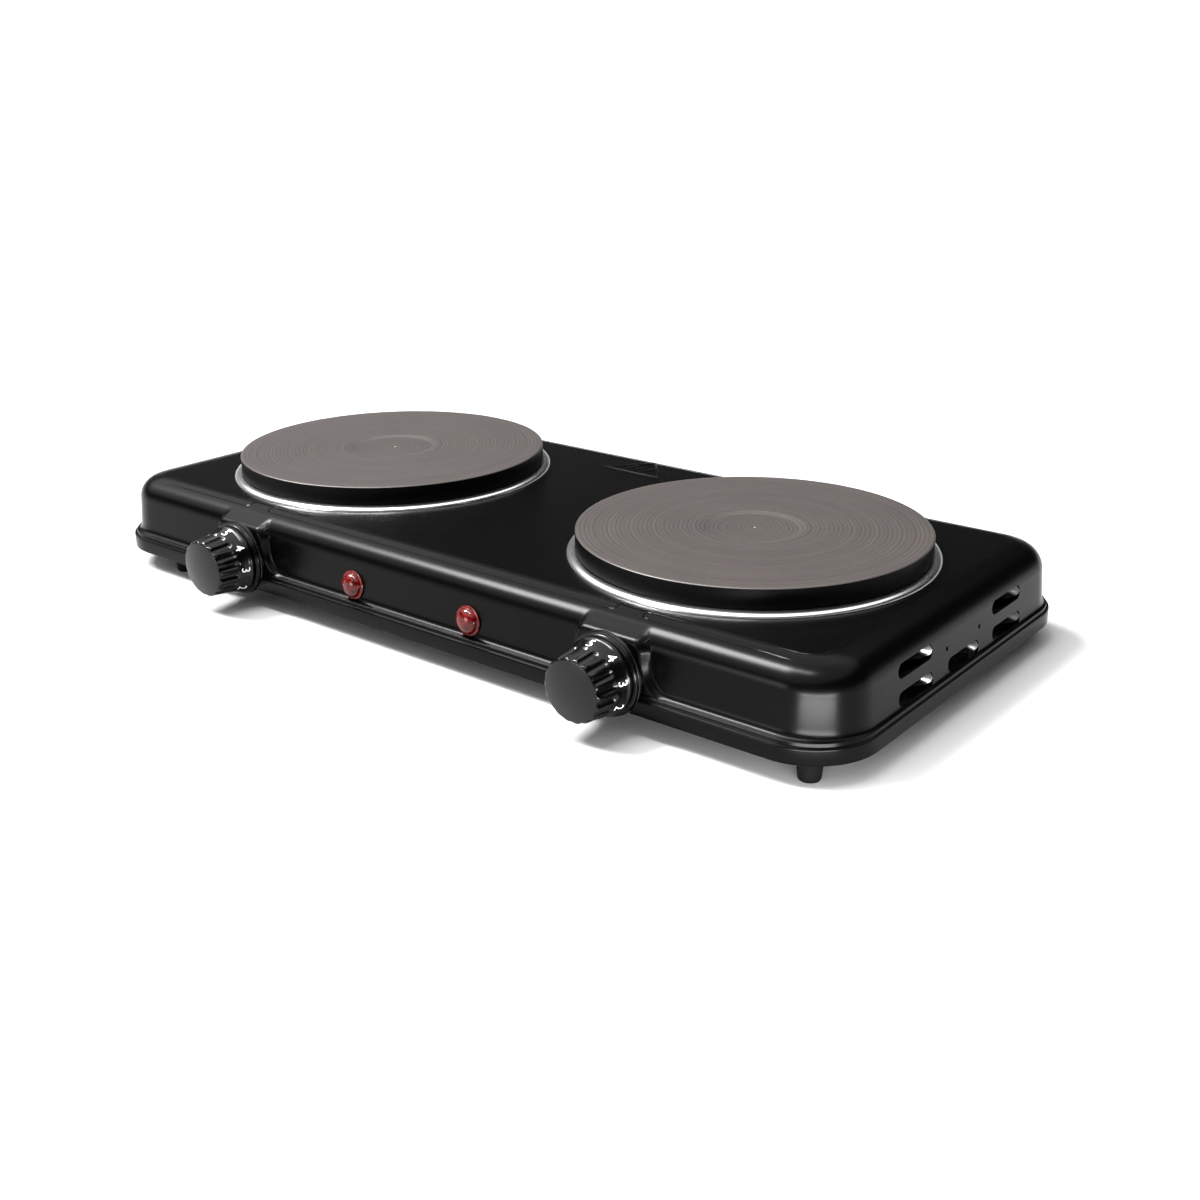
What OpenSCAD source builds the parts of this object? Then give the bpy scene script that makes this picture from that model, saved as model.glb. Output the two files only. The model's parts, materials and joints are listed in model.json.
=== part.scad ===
// Portable double hot plate: two cast-iron plates in one pressed steel case.
// +Z is up and z = 0 is the surface that the rubber feet stand on.
// The front, with its two knobs, faces -Y. The origin is below the middle of the
// object's outer box, and case_y moves the case's own middle to suit.

/* [Case] */
// Width of the case across the tops of its side walls
case_w = 509; // [480:1:620]
// Depth of the case across the tops of its front and rear walls
case_d = 234; // [216:1:290]
// Height of the deck's rim above the standing surface
case_h = 52.4; // [49:0.2:66]
// Thickness of the pressed sheet
sheet = 1.2; // [0.8:0.1:1.5]
// Corner radius of the case in plan
corner_r = 29; // [24:1:40]
// Radius of the rounded shoulder between the deck and the walls
shoulder_r = 12.5; // [10:0.5:15]
// How far each wall leans out from its top to its foot
wall_draft = 1.5; // [0.5:0.1:3]
// Rise of the deck's middle field above its rim
deck_rise = 1; // [0.6:0.1:1.6]
// Width of the deck's rim along the side walls
rim_x = 20; // [14:0.5:26]
// Width of the deck's rim along the front and rear walls
rim_y = 15.5; // [13:0.5:19]
// Corner radius of the deck's middle field
field_r = 10; // [6:1:20]

/* [Flange] */
// Overhang of the foot flange past the tops of the side walls
flange_x = 5; // [4:0.5:9]
// Overhang of the foot flange past the tops of the front and rear walls
flange_y = 7; // [4:0.5:10]
// Height of the flange's upright skirt
skirt_h = 8; // [6:0.5:12]
// Height of each of the two ridges above the skirt
ridge_h = 2; // [1.4:0.1:3]
// Width of each ridge's ledge
ridge_in = 1.4; // [1:0.1:2]

/* [Hot plates] */
// Diameter of each cast-iron plate
plate_d = 185; // [145:1:190]
// Distance between the plates' centres
plate_pitch = 268.8; // [240:0.2:330]
// Thickness of the iron plate at its rim
plate_t = 11; // [9:0.5:16]
// Radius of the shallow recess in the middle of each plate
recess_r = 26.5; // [20:0.5:32]
// Depth of that recess
recess_depth = 0.9; // [0.5:0.1:1.5]
// Outward reach of the trim ring past the plate
ring_reach = 4.6; // [3.6:0.1:7]
// Height of the trim ring above the deck
ring_h = 2.1; // [1.8:0.1:3]
// Thickness of the trim ring's sheet
ring_t = 0.6; // [0.4:0.1:0.8]
// Radius of the centre stud that draws each plate down
stud_r = 4; // [3:0.5:5]

/* [Knobs] */
// Height of the knob axes above the standing surface
knob_z = 26.5; // [26:0.1:30]
// Radius of the knob at its dial skirt
knob_r = 19.4; // [17:0.1:20.2]
// Radius of the knob at its front cap
cap_r = 16; // [13:0.1:17]
// Length of the knob along its axis
knob_l = 22.6; // [18:0.1:28]
// Number of finger flutes around the knob
flute_n = 18; // [12:1:24]
// Radius of the round bezel behind the knob
bezel_r = 21; // [20:0.1:24]
// Thickness of that bezel
bezel_t = 5; // [3.5:0.1:6]
// Radius of the thermostat spindle
spindle_r = 3; // [2.5:0.1:3.5]
// Radial running clearance around each spindle and plunger
run_gap = 0.05; // [0.02:0.01:0.1]
// Reach of the knob pads in front of the front wall's top edge
pad_out = 4; // [3:0.1:6]
// Half width of each knob pad at its top
pad_half = 20.5; // [18:0.5:24]
// Stroke of the thermostat plunger over the knob's whole turn
plunger_stroke = 1.5; // [1:0.1:2]

/* [Lights] */
// Distance between the two indicator lights
light_pitch = 85.4; // [60:0.2:100]
// Height of the lights above the standing surface
light_z = 29.1; // [28:0.1:34]
// Radius of the lens dome
lens_r = 6.6; // [5:0.1:7.2]
// Radius of the lens's seating collar
lens_collar_r = 8; // [7.6:0.1:9]

/* [Vents and feet] */
// Length of one vent slot
vent_l = 33; // [24:1:36]
// Height of one vent slot
vent_h = 7.5; // [5:0.5:9]
// Distance between neighbouring vent slots along the wall
vent_pitch = 48.5; // [44:0.5:56]
// Height of the lower row of vent slots
vent_z = 25; // [25:0.5:28]
// Distance between the two rows of vent slots
vent_rise = 13.5; // [11:0.5:14]
// Height of the rubber feet below the flange
foot_h = 11; // [9:0.5:14]
// Radius of each foot at its top
foot_r = 6.5; // [5:0.1:8]
// Distance of the feet's axes from the front and rear edges of the flange
foot_inset = 14; // [12:0.5:24]
// Distance of the right feet's axes from the flange's right edge
foot_inset_right = 21.5; // [18:0.5:60]
// Distance of the left feet's axes from the flange's left edge
foot_inset_left = 53.5; // [18:0.5:60]

/* [Cord gland] */
// Radius of the gland's cord bore
gland_bore_r = 3.6; // [3:0.1:4.2]
// Radius of the gland's outer nose
gland_r = 7.5; // [6.5:0.1:9]
// Reach of the gland behind the rear wall's top edge
gland_out = 14; // [12:0.5:18]
// Height of the gland's axis
gland_z = 32.5; // [32:0.5:34]

/* [Hidden] */
$fn = 64;
left = -1;
right = 1;
SIDES = [left, right];

// fits and small shared sizes
eps = 0.01;
gap = 0.3;
touch = 0.05;

// heights, from the standing surface up
skirt_z = foot_h;
ridge_z = skirt_z + skirt_h;
wall_z = ridge_z + 2 * ridge_h;
deck_z = case_h + deck_rise;
deck_under = deck_z - sheet;
base_z = foot_h + 1;
base_t = 1;
floor_z = base_z + base_t;
plate_z = deck_z + ring_h;

// plan sizes
flange_w = case_w + 2 * flange_x;
flange_d = case_d + 2 * flange_y;
flange_r = corner_r + (flange_x + flange_y) / 2;
plate_x = plate_pitch / 2;
plate_r = plate_d / 2;
deck_hole_r = plate_r - 10;

// front face of the knob pads, and the reach of the whole object
pad_y = -(case_d / 2 + pad_out);
knob_gap = 0.4;
knob_z0 = bezel_t + knob_gap;
front_reach = -pad_y + knob_z0 + knob_l;
rear_reach = case_d / 2 + gland_out;
case_y = (front_reach - rear_reach) / 2;

// knob pads
pad_top = case_h - 5.4;
pad_foot_half = pad_half + 15;
pad_back = case_d / 2 - rim_y;

// whole turn of a knob, from rest to its highest setting
turn_total = 216;

// thermostat block behind each pad, in the knob's own frame (z out of the front)
bush_r = 4.9;
bush_tip = bezel_t - 1;
stat_w = 27;
stat_h = 23;
stat_front = -9;
stat_l = 20;
stat_back = stat_front - stat_l;
cam_r = 6;
cam_z = stat_front - 12;
cam_steps = 12;
plunger_r = 2;
plunger_off = 3.6;

// hot plate underside
channel_in = 34;
channel_out = plate_r - 13;
channel_h = plate_t - 5.5;
hub_r = 14;
hub_drop = 5.5;
coil_wire = 1.4;
coil_n = 4;
coil_step = (channel_out - channel_in) / coil_n;
coil_z = plate_z + channel_h - 2.6;
lead_r = 1.2;
lead_gap = 9;
shield_z = plate_z - hub_drop - ring_t;
shield_r = deck_hole_r - 4;
bar_t = 2;
bar_w = 18;
bar_half = deck_hole_r + 6;
bar_z = shield_z - 6;
nut_h = 5;
nut_r = stud_r * 2;
stud_top = plate_z + 2.5;
stud_bottom = bar_z - nut_h - 2;

// lights
light_x = light_pitch / 2;
tail_r = lens_r - 1;
light_seat = 3 * touch;
lamp_r = 3.2;
lamp_l = 16;

// walls: how far the outer face leans out at a height, and its angle from upright
shoulder_z = case_h - shoulder_r;
lean_angle = atan(wall_draft / (shoulder_z - wall_z));
function lean(z) = wall_draft * (shoulder_z - z) / (shoulder_z - wall_z);

// feet, screws and lugs
foot_y = flange_d / 2 - foot_inset;
function foot_x(side) = side > 0 ? flange_w / 2 - foot_inset_right : foot_inset_left - flange_w / 2;
FEET = [[left, left], [right, left], [left, right], [right, right]];
screw_r = 1.7;
foot_head_r = 3.2;
foot_head_z = 4;
wall_dot_r = 1.2;
lug_w = 12;
lug_back = 11;
lug_top = wall_z + 6;
lug_hole = 4;
lug_in = sheet / 2 - wall_draft;
lug_x = plate_x * 0.72;
lug_y = vent_pitch / 2;

// inlet, terminals and wiring
gland_pad_r = 11;
gland_face = case_d / 2 + wall_draft + 0.2;
gland_tail_r = gland_r - 2;
nut_t = 5;
nut_gap = 3;
block_y = case_d / 2 - 44;
block_w = 34;
block_d = 16;
block_h = 12;
tab_l = 7;
tab_x = 6;
tab_drop = 5;
wire_r = 1.5;
wire_z = floor_z + 5;
term_h = 9;
term_w = 30;
term_y = sqrt(pow(channel_in + coil_step * 1.5, 2) - pow(lead_gap, 2));

// ---- shapes that several pieces share ----

// Everything below is drawn about the case's own middle, and this places it.
module in_case() { translate([0, case_y, 0]) children(); }

// The same frame on a knob pad, in the case's coordinates and in the part's:
// local z points out of the front and local y points up.
module at_knob(side) { translate([side * plate_x, pad_y, knob_z]) rotate([90, 0, 0]) children(); }
module on_pad(side) { in_case() at_knob(side) children(); }

// A frame on the axis of one hot plate.
module at_plate(side) { in_case() translate([side * plate_x, 0, 0]) children(); }

// A frame square to the leaning front wall at one light, local z out of the wall.
module at_light(side) {
    translate([side * light_x, -case_d / 2 - lean(light_z), light_z])
        rotate([90 - lean_angle, 0, 0]) children();
}

// Rounded rectangle in plan.
module plan(w, d, r) {
    square([w - 2 * r, d], center = true);
    square([w, d - 2 * r], center = true);
    for (sx = SIDES, sy = SIDES)
        translate([sx * (w / 2 - r), sy * (d / 2 - r)]) circle(r = r);
}

// Slab of a rounded rectangle between two heights.
module slab(w, d, r, z0, z1) { translate([0, 0, z0]) linear_extrude(z1 - z0) plan(w, d, r); }

// Closed upper body of the case down to a given height, shrunk by inset.
module case_body(inset, foot) {
    arc_r = shoulder_r - inset;
    out = lean(foot) - inset;
    hull() {
        for (a = [0:15:90]) {
            in = shoulder_r - arc_r * cos(a);
            translate([0, 0, shoulder_z + arc_r * sin(a) - eps]) linear_extrude(eps)
                plan(case_w - 2 * in, case_d - 2 * in, corner_r - in, $fn = 32);
        }
        translate([0, 0, foot]) linear_extrude(eps)
            plan(case_w + 2 * out, case_d + 2 * out, corner_r + out, $fn = 32);
    }
}

// Outline of a knob pad on the front wall, with its concave flare into the flange.
module pad_outline(inset) {
    flare = pad_foot_half - pad_half;
    foot = wall_z - 2;
    arc = [for (a = [0:15:90]) [pad_foot_half - inset - flare * sin(a), foot + flare * (1 - cos(a))]];
    mirrored = [for (i = [len(arc) - 1:-1:0]) [-arc[i][0], arc[i][1]]];
    top = pad_top - inset;
    polygon(concat(arc, [[pad_half - inset, top - 4], [pad_half - inset - 2, top],
                         [-pad_half + inset + 2, top], [-pad_half + inset, top - 4]], mirrored));
}

// Solid of a knob pad: its flared front, and the saddle that runs back to the deck.
module pad(side, inset) {
    translate([side * plate_x, 0, 0]) {
        translate([0, pad_y + inset + 12, 0]) rotate([90, 0, 0]) linear_extrude(12) pad_outline(inset);
        hull() {
            half = pad_half - inset;
            translate([-half + 2, pad_y + inset, pad_top - inset - 8]) cube([2 * half - 4, 1, 8]);
            translate([-half, pad_y + inset + 2, pad_top - inset - 8]) cube([2 * half, 1, 6]);
            translate([-half, -pad_back, case_h - inset - 6]) cube([2 * half, 1, 6 + deck_rise * 0.4]);
        }
    }
}

// Straight slot with round ends, cut through the sheet of a side wall.
module vent_cut(side, y, z) {
    half = vent_l / 2 - vent_h / 2;
    translate([side * (case_w / 2 + 4), y, z]) rotate([0, -90 * side, 0]) {
        translate([-vent_h / 2, -half, 0]) cube([vent_h, 2 * half, 8]);
        for (e = SIDES) translate([0, e * half, 0]) cylinder(d = vent_h, h = 8);
    }
}

// Tongue that stays joined behind a slot's rear end and leans into the case.
module vent_tongue(side, y, z) {
    face = case_w / 2 + lean(z) - sheet;
    end = y + vent_l / 2;
    reach = vent_l * 0.5;
    translate([0, 0, z - vent_h / 2 + 0.4]) linear_extrude(vent_h - 0.8)
        polygon([[side * (face + 0.5), end + 2], [side * (face + 0.5), end + 0.1],
                 [side * (face - 0.2), end], [side * (face - reach * 0.62), end - reach],
                 [side * (face - reach * 0.62 - 1), end - reach + 0.5], [side * (face - 1), end + 1.4]]);
}

// The vent places on one side wall: two stacked pairs and a single between them.
VENTS = [[-vent_pitch, vent_z], [-vent_pitch, vent_z + vent_rise], [0, vent_z],
         [vent_pitch, vent_z], [vent_pitch, vent_z + vent_rise]];

// Lug that a base screw bites into, fused to the wall at its top. Its local -y
// points into the case, and its origin is in the middle of the wall's sheet.
module lug() {
    translate([-lug_w / 2, -lug_back, floor_z]) difference() {
        cube([lug_w, lug_back, lug_top - floor_z]);
        translate([lug_w / 2, lug_hole, -1]) cylinder(r = screw_r, h = 9);
    }
}

// The children once at each lug, turned so that local -y points into the case.
module at_lugs() {
    for (sx = SIDES, sy = SIDES)
        translate([sx * lug_x, sy * (case_d / 2 - lug_in), 0]) rotate([0, 0, sy > 0 ? 0 : 180]) children();
    for (s = SIDES)
        translate([s * (case_w / 2 - lug_in), lug_y, 0]) rotate([0, 0, -90 * s]) children();
}

// A hexagonal nut with its bore, standing on z = 0.
module hex_nut(across, bore, h) {
    difference() {
        cylinder(r = across, h = h, $fn = 6);
        translate([0, 0, -1]) cylinder(r = bore, h = h + 2);
    }
}

// A pan-head screw pointing up, its head below z = 0.
module screw(r, h) {
    translate([0, 0, -1.6]) cylinder(r = 2 * r, h = 1.6);
    cylinder(r = r, h = h);
}

// Unit vector, and the mean direction of a path at each of its points.
function unit(v) = v / norm(v);
function heading(p, i) = unit((i > 0 ? unit(p[i] - p[i - 1]) : [0, 0, 0])
                              + (i < len(p) - 1 ? unit(p[i + 1] - p[i]) : [0, 0, 0]));

// A round wire swept along a list of points, with a ring of vertices at each.
module wire(points, r, sides = 10) {
    n = len(points);
    rings = [for (i = [0:n - 1])
        let (t = heading(points, i), u = unit(cross([1, -1, 1], t)), v = cross(t, u))
        for (k = [0:sides - 1]) points[i] + r * (cos(360 * k / sides) * u + sin(360 * k / sides) * v)];
    skin = [for (i = [0:n - 2], k = [0:sides - 1])
        let (a = i * sides + k, b = i * sides + (k + 1) % sides)
        [a, a + sides, b + sides, b]];
    caps = [[for (k = [0:sides - 1]) k], [for (k = [sides - 1:-1:0]) (n - 1) * sides + k]];
    polyhedron(rings, concat(skin, caps), convexity = 4);
}

// A bend of radius-like size r cut into every inner corner of a path.
function bent(p, r) = concat([p[0]], [for (i = [1:len(p) - 2], s = [0:0.25:1])
    let (a = p[i] + r * unit(p[i - 1] - p[i]), b = p[i] + r * unit(p[i + 1] - p[i]))
    pow(1 - s, 2) * a + 2 * s * (1 - s) * p[i] + s * s * b], [p[len(p) - 1]]);

// ---- case ----

// Raised outline of a triangle with three slanted bars, pressed up out of the deck.
module deck_mark() {
    mark_w = 40;
    mark_d = 24;
    rib = 1.6;
    rise = 0.5;
    slope = atan(2 * mark_d / mark_w);
    side_l = norm([mark_w / 2, mark_d]);
    translate([-7, case_d / 2 - 39, deck_z - 0.2]) {
        translate([-mark_w / 2, 0, 0]) cube([mark_w, rib, rise + 0.2]);
        translate([-mark_w / 2, 0, 0]) rotate([0, 0, slope]) cube([side_l, rib, rise + 0.2]);
        translate([mark_w / 2, 0, 0]) rotate([0, 0, 180 - slope]) translate([0, -rib, 0])
            cube([side_l, rib, rise + 0.2]);
        for (i = [-1:1]) translate([i * 6 - 2, 4.5, 0]) rotate([0, 0, 68]) cube([9, rib, rise + 0.2]);
    }
}

module housing_shell() {
    color("#161616") in_case() difference() {
        union() {
            difference() {
                union() {
                    case_body(0, wall_z - 1);
                    slab(case_w - 2 * rim_x, case_d - 2 * rim_y, field_r, case_h - 1, deck_z);
                    slab(flange_w, flange_d, flange_r, skirt_z, ridge_z);
                    for (i = [1, 2])
                        slab(flange_w - 2 * i * ridge_in, flange_d - 2 * i * ridge_in,
                             flange_r - i * ridge_in, ridge_z - 1, ridge_z + i * ridge_h);
                    for (s = SIDES) pad(s, 0);
                }
                case_body(sheet, ridge_z - 1);
                slab(case_w - 2 * rim_x - 2 * sheet, case_d - 2 * rim_y - 2 * sheet, field_r - sheet,
                     case_h - 3, deck_under);
                for (i = [0:2])
                    slab(flange_w - 2 * i * ridge_in - 2 * sheet, flange_d - 2 * i * ridge_in - 2 * sheet,
                         flange_r - i * ridge_in - sheet, skirt_z - 1, ridge_z + i * ridge_h - sheet);
                for (s = SIDES) pad(s, sheet);
            }
            at_lugs() lug();
            for (s = SIDES, v = VENTS) vent_tongue(s, v[0], v[1]);
            translate([0, case_d / 2 - 1, gland_z]) rotate([-90, 0, 0])
                cylinder(r = gland_pad_r, h = gland_face - case_d / 2 + 1);
            deck_mark();
            for (s = SIDES) bezel_dish(s);
        }
        for (s = SIDES) at_knob(s) cylinder(r = bezel_r + gap, h = 12, $fn = 96);
        for (s = SIDES, v = VENTS) vent_mouth(s, v[0], v[1]);
        for (s = SIDES) {
            for (e = SIDES) translate([s * (case_w / 2 - 3), e * lug_y * 0.72, vent_z + vent_rise * 0.68])
                rotate([0, 90 * s, 0]) cylinder(r = wall_dot_r, h = 9);
            translate([s * plate_x, 0, case_h - 6]) cylinder(r = deck_hole_r, h = 12);
            translate([s * plate_x, pad_y + 8, knob_z]) rotate([90, 0, 0])
                cylinder(r = bush_r + touch, h = 12);
            at_light(s) {
                translate([0, 0, -8]) cylinder(r = tail_r + touch, h = 14);
                // seat cut into the fillet above the flange, for the foot of the collar
                translate([0, 0, light_seat - touch]) cylinder(r = lens_collar_r + 2 * touch, h = 5);
            }
        }
        translate([0, case_d / 2 - 10, gland_z]) rotate([-90, 0, 0])
            cylinder(r = gland_tail_r + touch, h = 20);
    }
}

// Wall of the round dish that lets each knob bezel into the flange.
module bezel_dish(side) {
    r = bezel_r + gap + sheet;
    intersection() {
        at_knob(side) translate([0, 0, -sheet]) cylinder(r = r, h = 12, $fn = 96);
        union() {
            slab(flange_w, flange_d, flange_r, skirt_z, ridge_z);
            translate([-case_w / 2, pad_y, skirt_z]) cube([case_w, sheet, wall_z - skirt_z + 1]);
        }
    }
}

// Slot mouth in the sheet only, so that the tongue behind it stays.
module vent_mouth(side, y, z) {
    face = case_w / 2 + lean(z) - sheet;
    intersection() {
        vent_cut(side, y, z);
        translate([side * (face + 9.9), y, z]) cube([20, vent_l * 2, vent_h * 2], center = true);
    }
}

// Flat pan that closes the case from below, with air slots under the plates.
module base_plate() {
    color("#3a3a3a") in_case() difference() {
        slab(flange_w - 2 * sheet - 2 * gap, flange_d - 2 * sheet - 2 * gap, flange_r - sheet - gap,
             base_z, floor_z);
        at_lugs() translate([0, lug_hole - lug_back, base_z - 1]) cylinder(r = screw_r + gap, h = 4);
        for (f = FEET) translate([foot_x(f[0]), f[1] * foot_y, base_z - 1])
            cylinder(r = screw_r + touch, h = 4);
        for (s = SIDES) at_knob(s) translate([0, 0, -sheet - gap])
            cylinder(r = bezel_r + sheet + 2 * gap, h = 12, $fn = 96);
        for (s = SIDES, row = [-2:2]) translate([s * plate_x, row * 14, base_z - 1]) {
            translate([-20, -2, 0]) cube([40, 4, 4]);
            for (e = SIDES) translate([e * 20, 0, 0]) cylinder(r = 2, h = 4);
        }
    }
}

module base_screws() {
    color("silver") in_case() at_lugs() translate([0, lug_hole - lug_back, base_z])
        screw(screw_r - touch, 8);
}

module foot(sx, sy) {
    color("#0c0c0c") in_case() translate([foot_x(sx), sy * foot_y, 0]) difference() {
        rotate_extrude() polygon([[0, 0], [foot_r * 0.64, 0], [foot_r * 0.75, foot_h * 0.06],
                                  [foot_r * 0.82, foot_h * 0.18], [foot_r * 0.95, foot_h * 0.7],
                                  [foot_r, base_z], [0, base_z]]);
        translate([0, 0, -1]) cylinder(r = screw_r + touch, h = base_z + 2);
        translate([0, 0, -1]) cylinder(r = foot_head_r + touch, h = 1 + foot_head_z);
    }
}

module foot_screws() {
    color("silver") in_case() for (f = FEET)
        translate([foot_x(f[0]), f[1] * foot_y, 0]) {
            translate([0, 0, foot_head_z - 1.4]) cylinder(r = foot_head_r, h = 1.4);
            translate([0, 0, foot_head_z]) cylinder(r = screw_r, h = floor_z + 2 - foot_head_z);
        }
}

// ---- hot plates ----

module hotplate(side) {
    top = plate_t;
    floor_r = recess_r - 1.6;
    color("#7f7b7b") at_plate(side) translate([0, 0, plate_z]) difference() {
        rotate_extrude($fn = 128) polygon([
            [0, -hub_drop], [hub_r, -hub_drop], [hub_r, 0], [channel_in, 0], [channel_in, channel_h],
            [channel_out, channel_h], [channel_out, 0], [plate_r, 0], [plate_r, top - 1.2],
            [plate_r - 0.4, top - 0.4], [plate_r - 1.2, top], [recess_r, top],
            [floor_r, top - recess_depth], [0, top - recess_depth]]);
        translate([0, 0, -hub_drop - 1]) cylinder(r = stud_r + touch, h = hub_drop + 4);
    }
}

// Pressed stainless ring: a rounded lip outside, and a flange that the plate sits on.
module trim_ring(side) {
    lip_in = plate_r + 0.4;
    lip_w = ring_reach - 0.4;
    lip_h = ring_h + 0.4;
    outer = [for (a = [0:15:90]) [lip_in + lip_w * cos(a), lip_h * sin(a)]];
    inner = [for (a = [90:-15:0]) [lip_in + (lip_w - ring_t) * cos(a), (lip_h - ring_t) * sin(a)]];
    seat_in = deck_hole_r + 2;
    color("#d8d8d8") at_plate(side) translate([0, 0, deck_z]) rotate_extrude($fn = 128)
        polygon(concat(outer, [[lip_in, ring_h], [seat_in, ring_h], [seat_in, 0], [seat_in + ring_t, 0],
                               [seat_in + ring_t, ring_h - ring_t], [lip_in, ring_h - ring_t]], inner));
}

// Radius of each turn of the heating coil.
function turn_r(i) = channel_in + coil_step * (i + 0.5);

module heating_coil(side) {
    color("#8a7f70") at_plate(side) {
        for (i = [0:coil_n - 1])
            translate([0, 0, coil_z]) rotate_extrude($fn = 96)
                translate([turn_r(i), 0]) circle(r = coil_wire, $fn = 16);
        translate([-0.8, -turn_r(coil_n - 1), coil_z - 0.8])
            cube([1.6, turn_r(coil_n - 1) - turn_r(0), 1.6]);
        for (e = SIDES) translate([e * lead_gap, term_y, shield_z - 4])
            cylinder(r = lead_r, h = coil_z - shield_z + 4);
    }
}

// Pressed magnesia that holds the coil in the plate's channel, with a groove for each turn.
module filler(side) {
    low = plate_z + 1.2;
    color("#d9d2c0") at_plate(side) difference() {
        translate([0, 0, low]) difference() {
            cylinder(r = channel_out - touch, h = plate_z + channel_h - low, $fn = 96);
            translate([0, 0, -1]) cylinder(r = channel_in + touch, h = 20, $fn = 96);
        }
        for (i = [0:coil_n - 1]) translate([0, 0, coil_z]) rotate_extrude($fn = 96) {
            translate([turn_r(i), 0]) circle(r = coil_wire + touch, $fn = 16);
            translate([turn_r(i) - coil_wire - touch, -6]) square([2 * coil_wire + 2 * touch, 6]);
        }
        translate([-1, -turn_r(coil_n - 1), low - 1])
            cube([2, turn_r(coil_n - 1) - turn_r(0), coil_z - low + 1.9]);
    }
}

module heat_shield(side) {
    color("#b9bcbe") at_plate(side) translate([0, 0, shield_z]) difference() {
        union() {
            cylinder(r = shield_r, h = ring_t, $fn = 96);
            difference() {
                cylinder(r = shield_r, h = plate_z - shield_z - 1.5, $fn = 96);
                translate([0, 0, -1]) cylinder(r = shield_r - ring_t, h = 20, $fn = 96);
            }
        }
        translate([0, 0, -1]) cylinder(r = stud_r + gap, h = 4);
        for (e = SIDES) translate([e * lead_gap, term_y, -1]) cylinder(r = lead_r + 0.6, h = 4);
    }
}

module centre_stud(side) {
    color("silver") at_plate(side) translate([0, 0, stud_bottom])
        cylinder(r = stud_r, h = stud_top - stud_bottom);
}

// Strap across the deck's hole, its two feet against the deck's underside.
module clamp_bar(side) {
    color("#9a9c9e") at_plate(side) difference() {
        union() {
            translate([-bar_half, -bar_w / 2, bar_z]) cube([2 * bar_half, bar_w, bar_t]);
            for (e = SIDES) translate([e * (bar_half - bar_t / 2) - bar_t / 2, -bar_w / 2, bar_z])
                cube([bar_t, bar_w, deck_under - bar_z]);
        }
        translate([0, 0, bar_z - 1]) cylinder(r = stud_r + gap, h = bar_t + 2);
    }
}

module stud_nuts() {
    color("silver") for (s = SIDES) at_plate(s) translate([0, 0, bar_z - nut_h])
        hex_nut(nut_r, stud_r + touch, nut_h);
}

// Ceramic block under the shield that the coil's two leads end in.
module plate_terminal(side) {
    color("#e8e2d4") at_plate(side) translate([0, term_y, shield_z - term_h]) difference() {
        translate([-term_w / 2, -6, 0]) cube([term_w, 12, term_h]);
        for (e = SIDES) translate([e * lead_gap, 0, term_h - 4.5]) cylinder(r = lead_r + touch, h = 6);
    }
}

module thermal_fuses() {
    color("#b7a27a") for (s = SIDES) at_plate(s) translate([0, -turn_r(1), shield_z - 2.5])
        rotate([0, 90, 0]) {
            translate([0, 0, -11]) cylinder(r = 2.4, h = 22, $fn = 32);
            translate([0, 0, -18]) cylinder(r = 0.6, h = 36, $fn = 16);
        }
}

// ---- thermostats and knobs, drawn in the pad's own frame ----

module thermostat(side) {
    color("#e6e0d2") on_pad(side) difference() {
        union() {
            translate([-stat_w / 2, -stat_h / 2, stat_back]) cube([stat_w, stat_h, stat_l]);
            translate([0, 0, stat_front - 1]) cylinder(r = 8, h = -stat_front + 1 - sheet - touch);
            translate([0, 0, stat_front - 1]) cylinder(r = bush_r, h = bush_tip - stat_front + 1);
            for (e = SIDES) translate([e * tab_x - 3.1, -tab_drop - 0.4, stat_back - tab_l])
                cube([6.2, 0.8, tab_l + 1]);
        }
        translate([0, 0, stat_front - 2]) cylinder(r = spindle_r + run_gap, h = 30);
        translate([0, 0, stat_back + 5]) cylinder(r = cam_r + 0.5, h = stat_l - 7);
        translate([0, plunger_off, stat_back - 1]) cylinder(r = plunger_r + run_gap, h = 8);
    }
}

module thermostat_nuts() {
    color("silver") for (s = SIDES) on_pad(s) hex_nut(8, bush_r + touch, 3.4);
}

// How far each knob rests short of its highest stop, and its own stroke of the plunger.
function rest_turn(side) = side > 0 ? 13 : 0;
function cam_height(turn) = plunger_stroke * (1 - turn / turn_total);

// Spindle with a flat for the knob in front, and a stepped cam at its rear end.
module spindle(side) {
    tip = knob_z0 + knob_l - 8;
    step = turn_total / cam_steps;
    color("#c8a24a") on_pad(side) {
        difference() {
            translate([0, 0, cam_z]) cylinder(r = spindle_r, h = tip - cam_z);
            translate([-5, spindle_r / 2, knob_z0 - 0.2]) cube([10, 5, 30]);
        }
        translate([0, 0, cam_z - 1]) cylinder(r = cam_r + 0.1, h = 2);
        for (k = [0:cam_steps - 2]) {
            a0 = 90 + rest_turn(side) - k * step;
            rise = cam_height((k + 1) * step);
            wedge = [for (i = [0:3]) cam_r * [cos(a0 - i * step / 3), sin(a0 - i * step / 3)]];
            translate([0, 0, cam_z - 1 - rise]) linear_extrude(rise + 0.5) polygon(concat([[0, 0]], wedge));
        }
    }
}

// Ceramic pin that rides on the cam and works the contacts behind the thermostat.
module plunger(side) {
    nose = cam_z - 1 - gap - cam_height(rest_turn(side));
    body = cam_z - 1 - 6;
    color("white") on_pad(side) translate([0, plunger_off, 0]) {
        translate([0, 0, body]) cylinder(r = 0.8, h = nose - body);
        translate([0, 0, stat_back - 4]) cylinder(r = plunger_r, h = body - stat_back + 4);
    }
}

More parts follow.
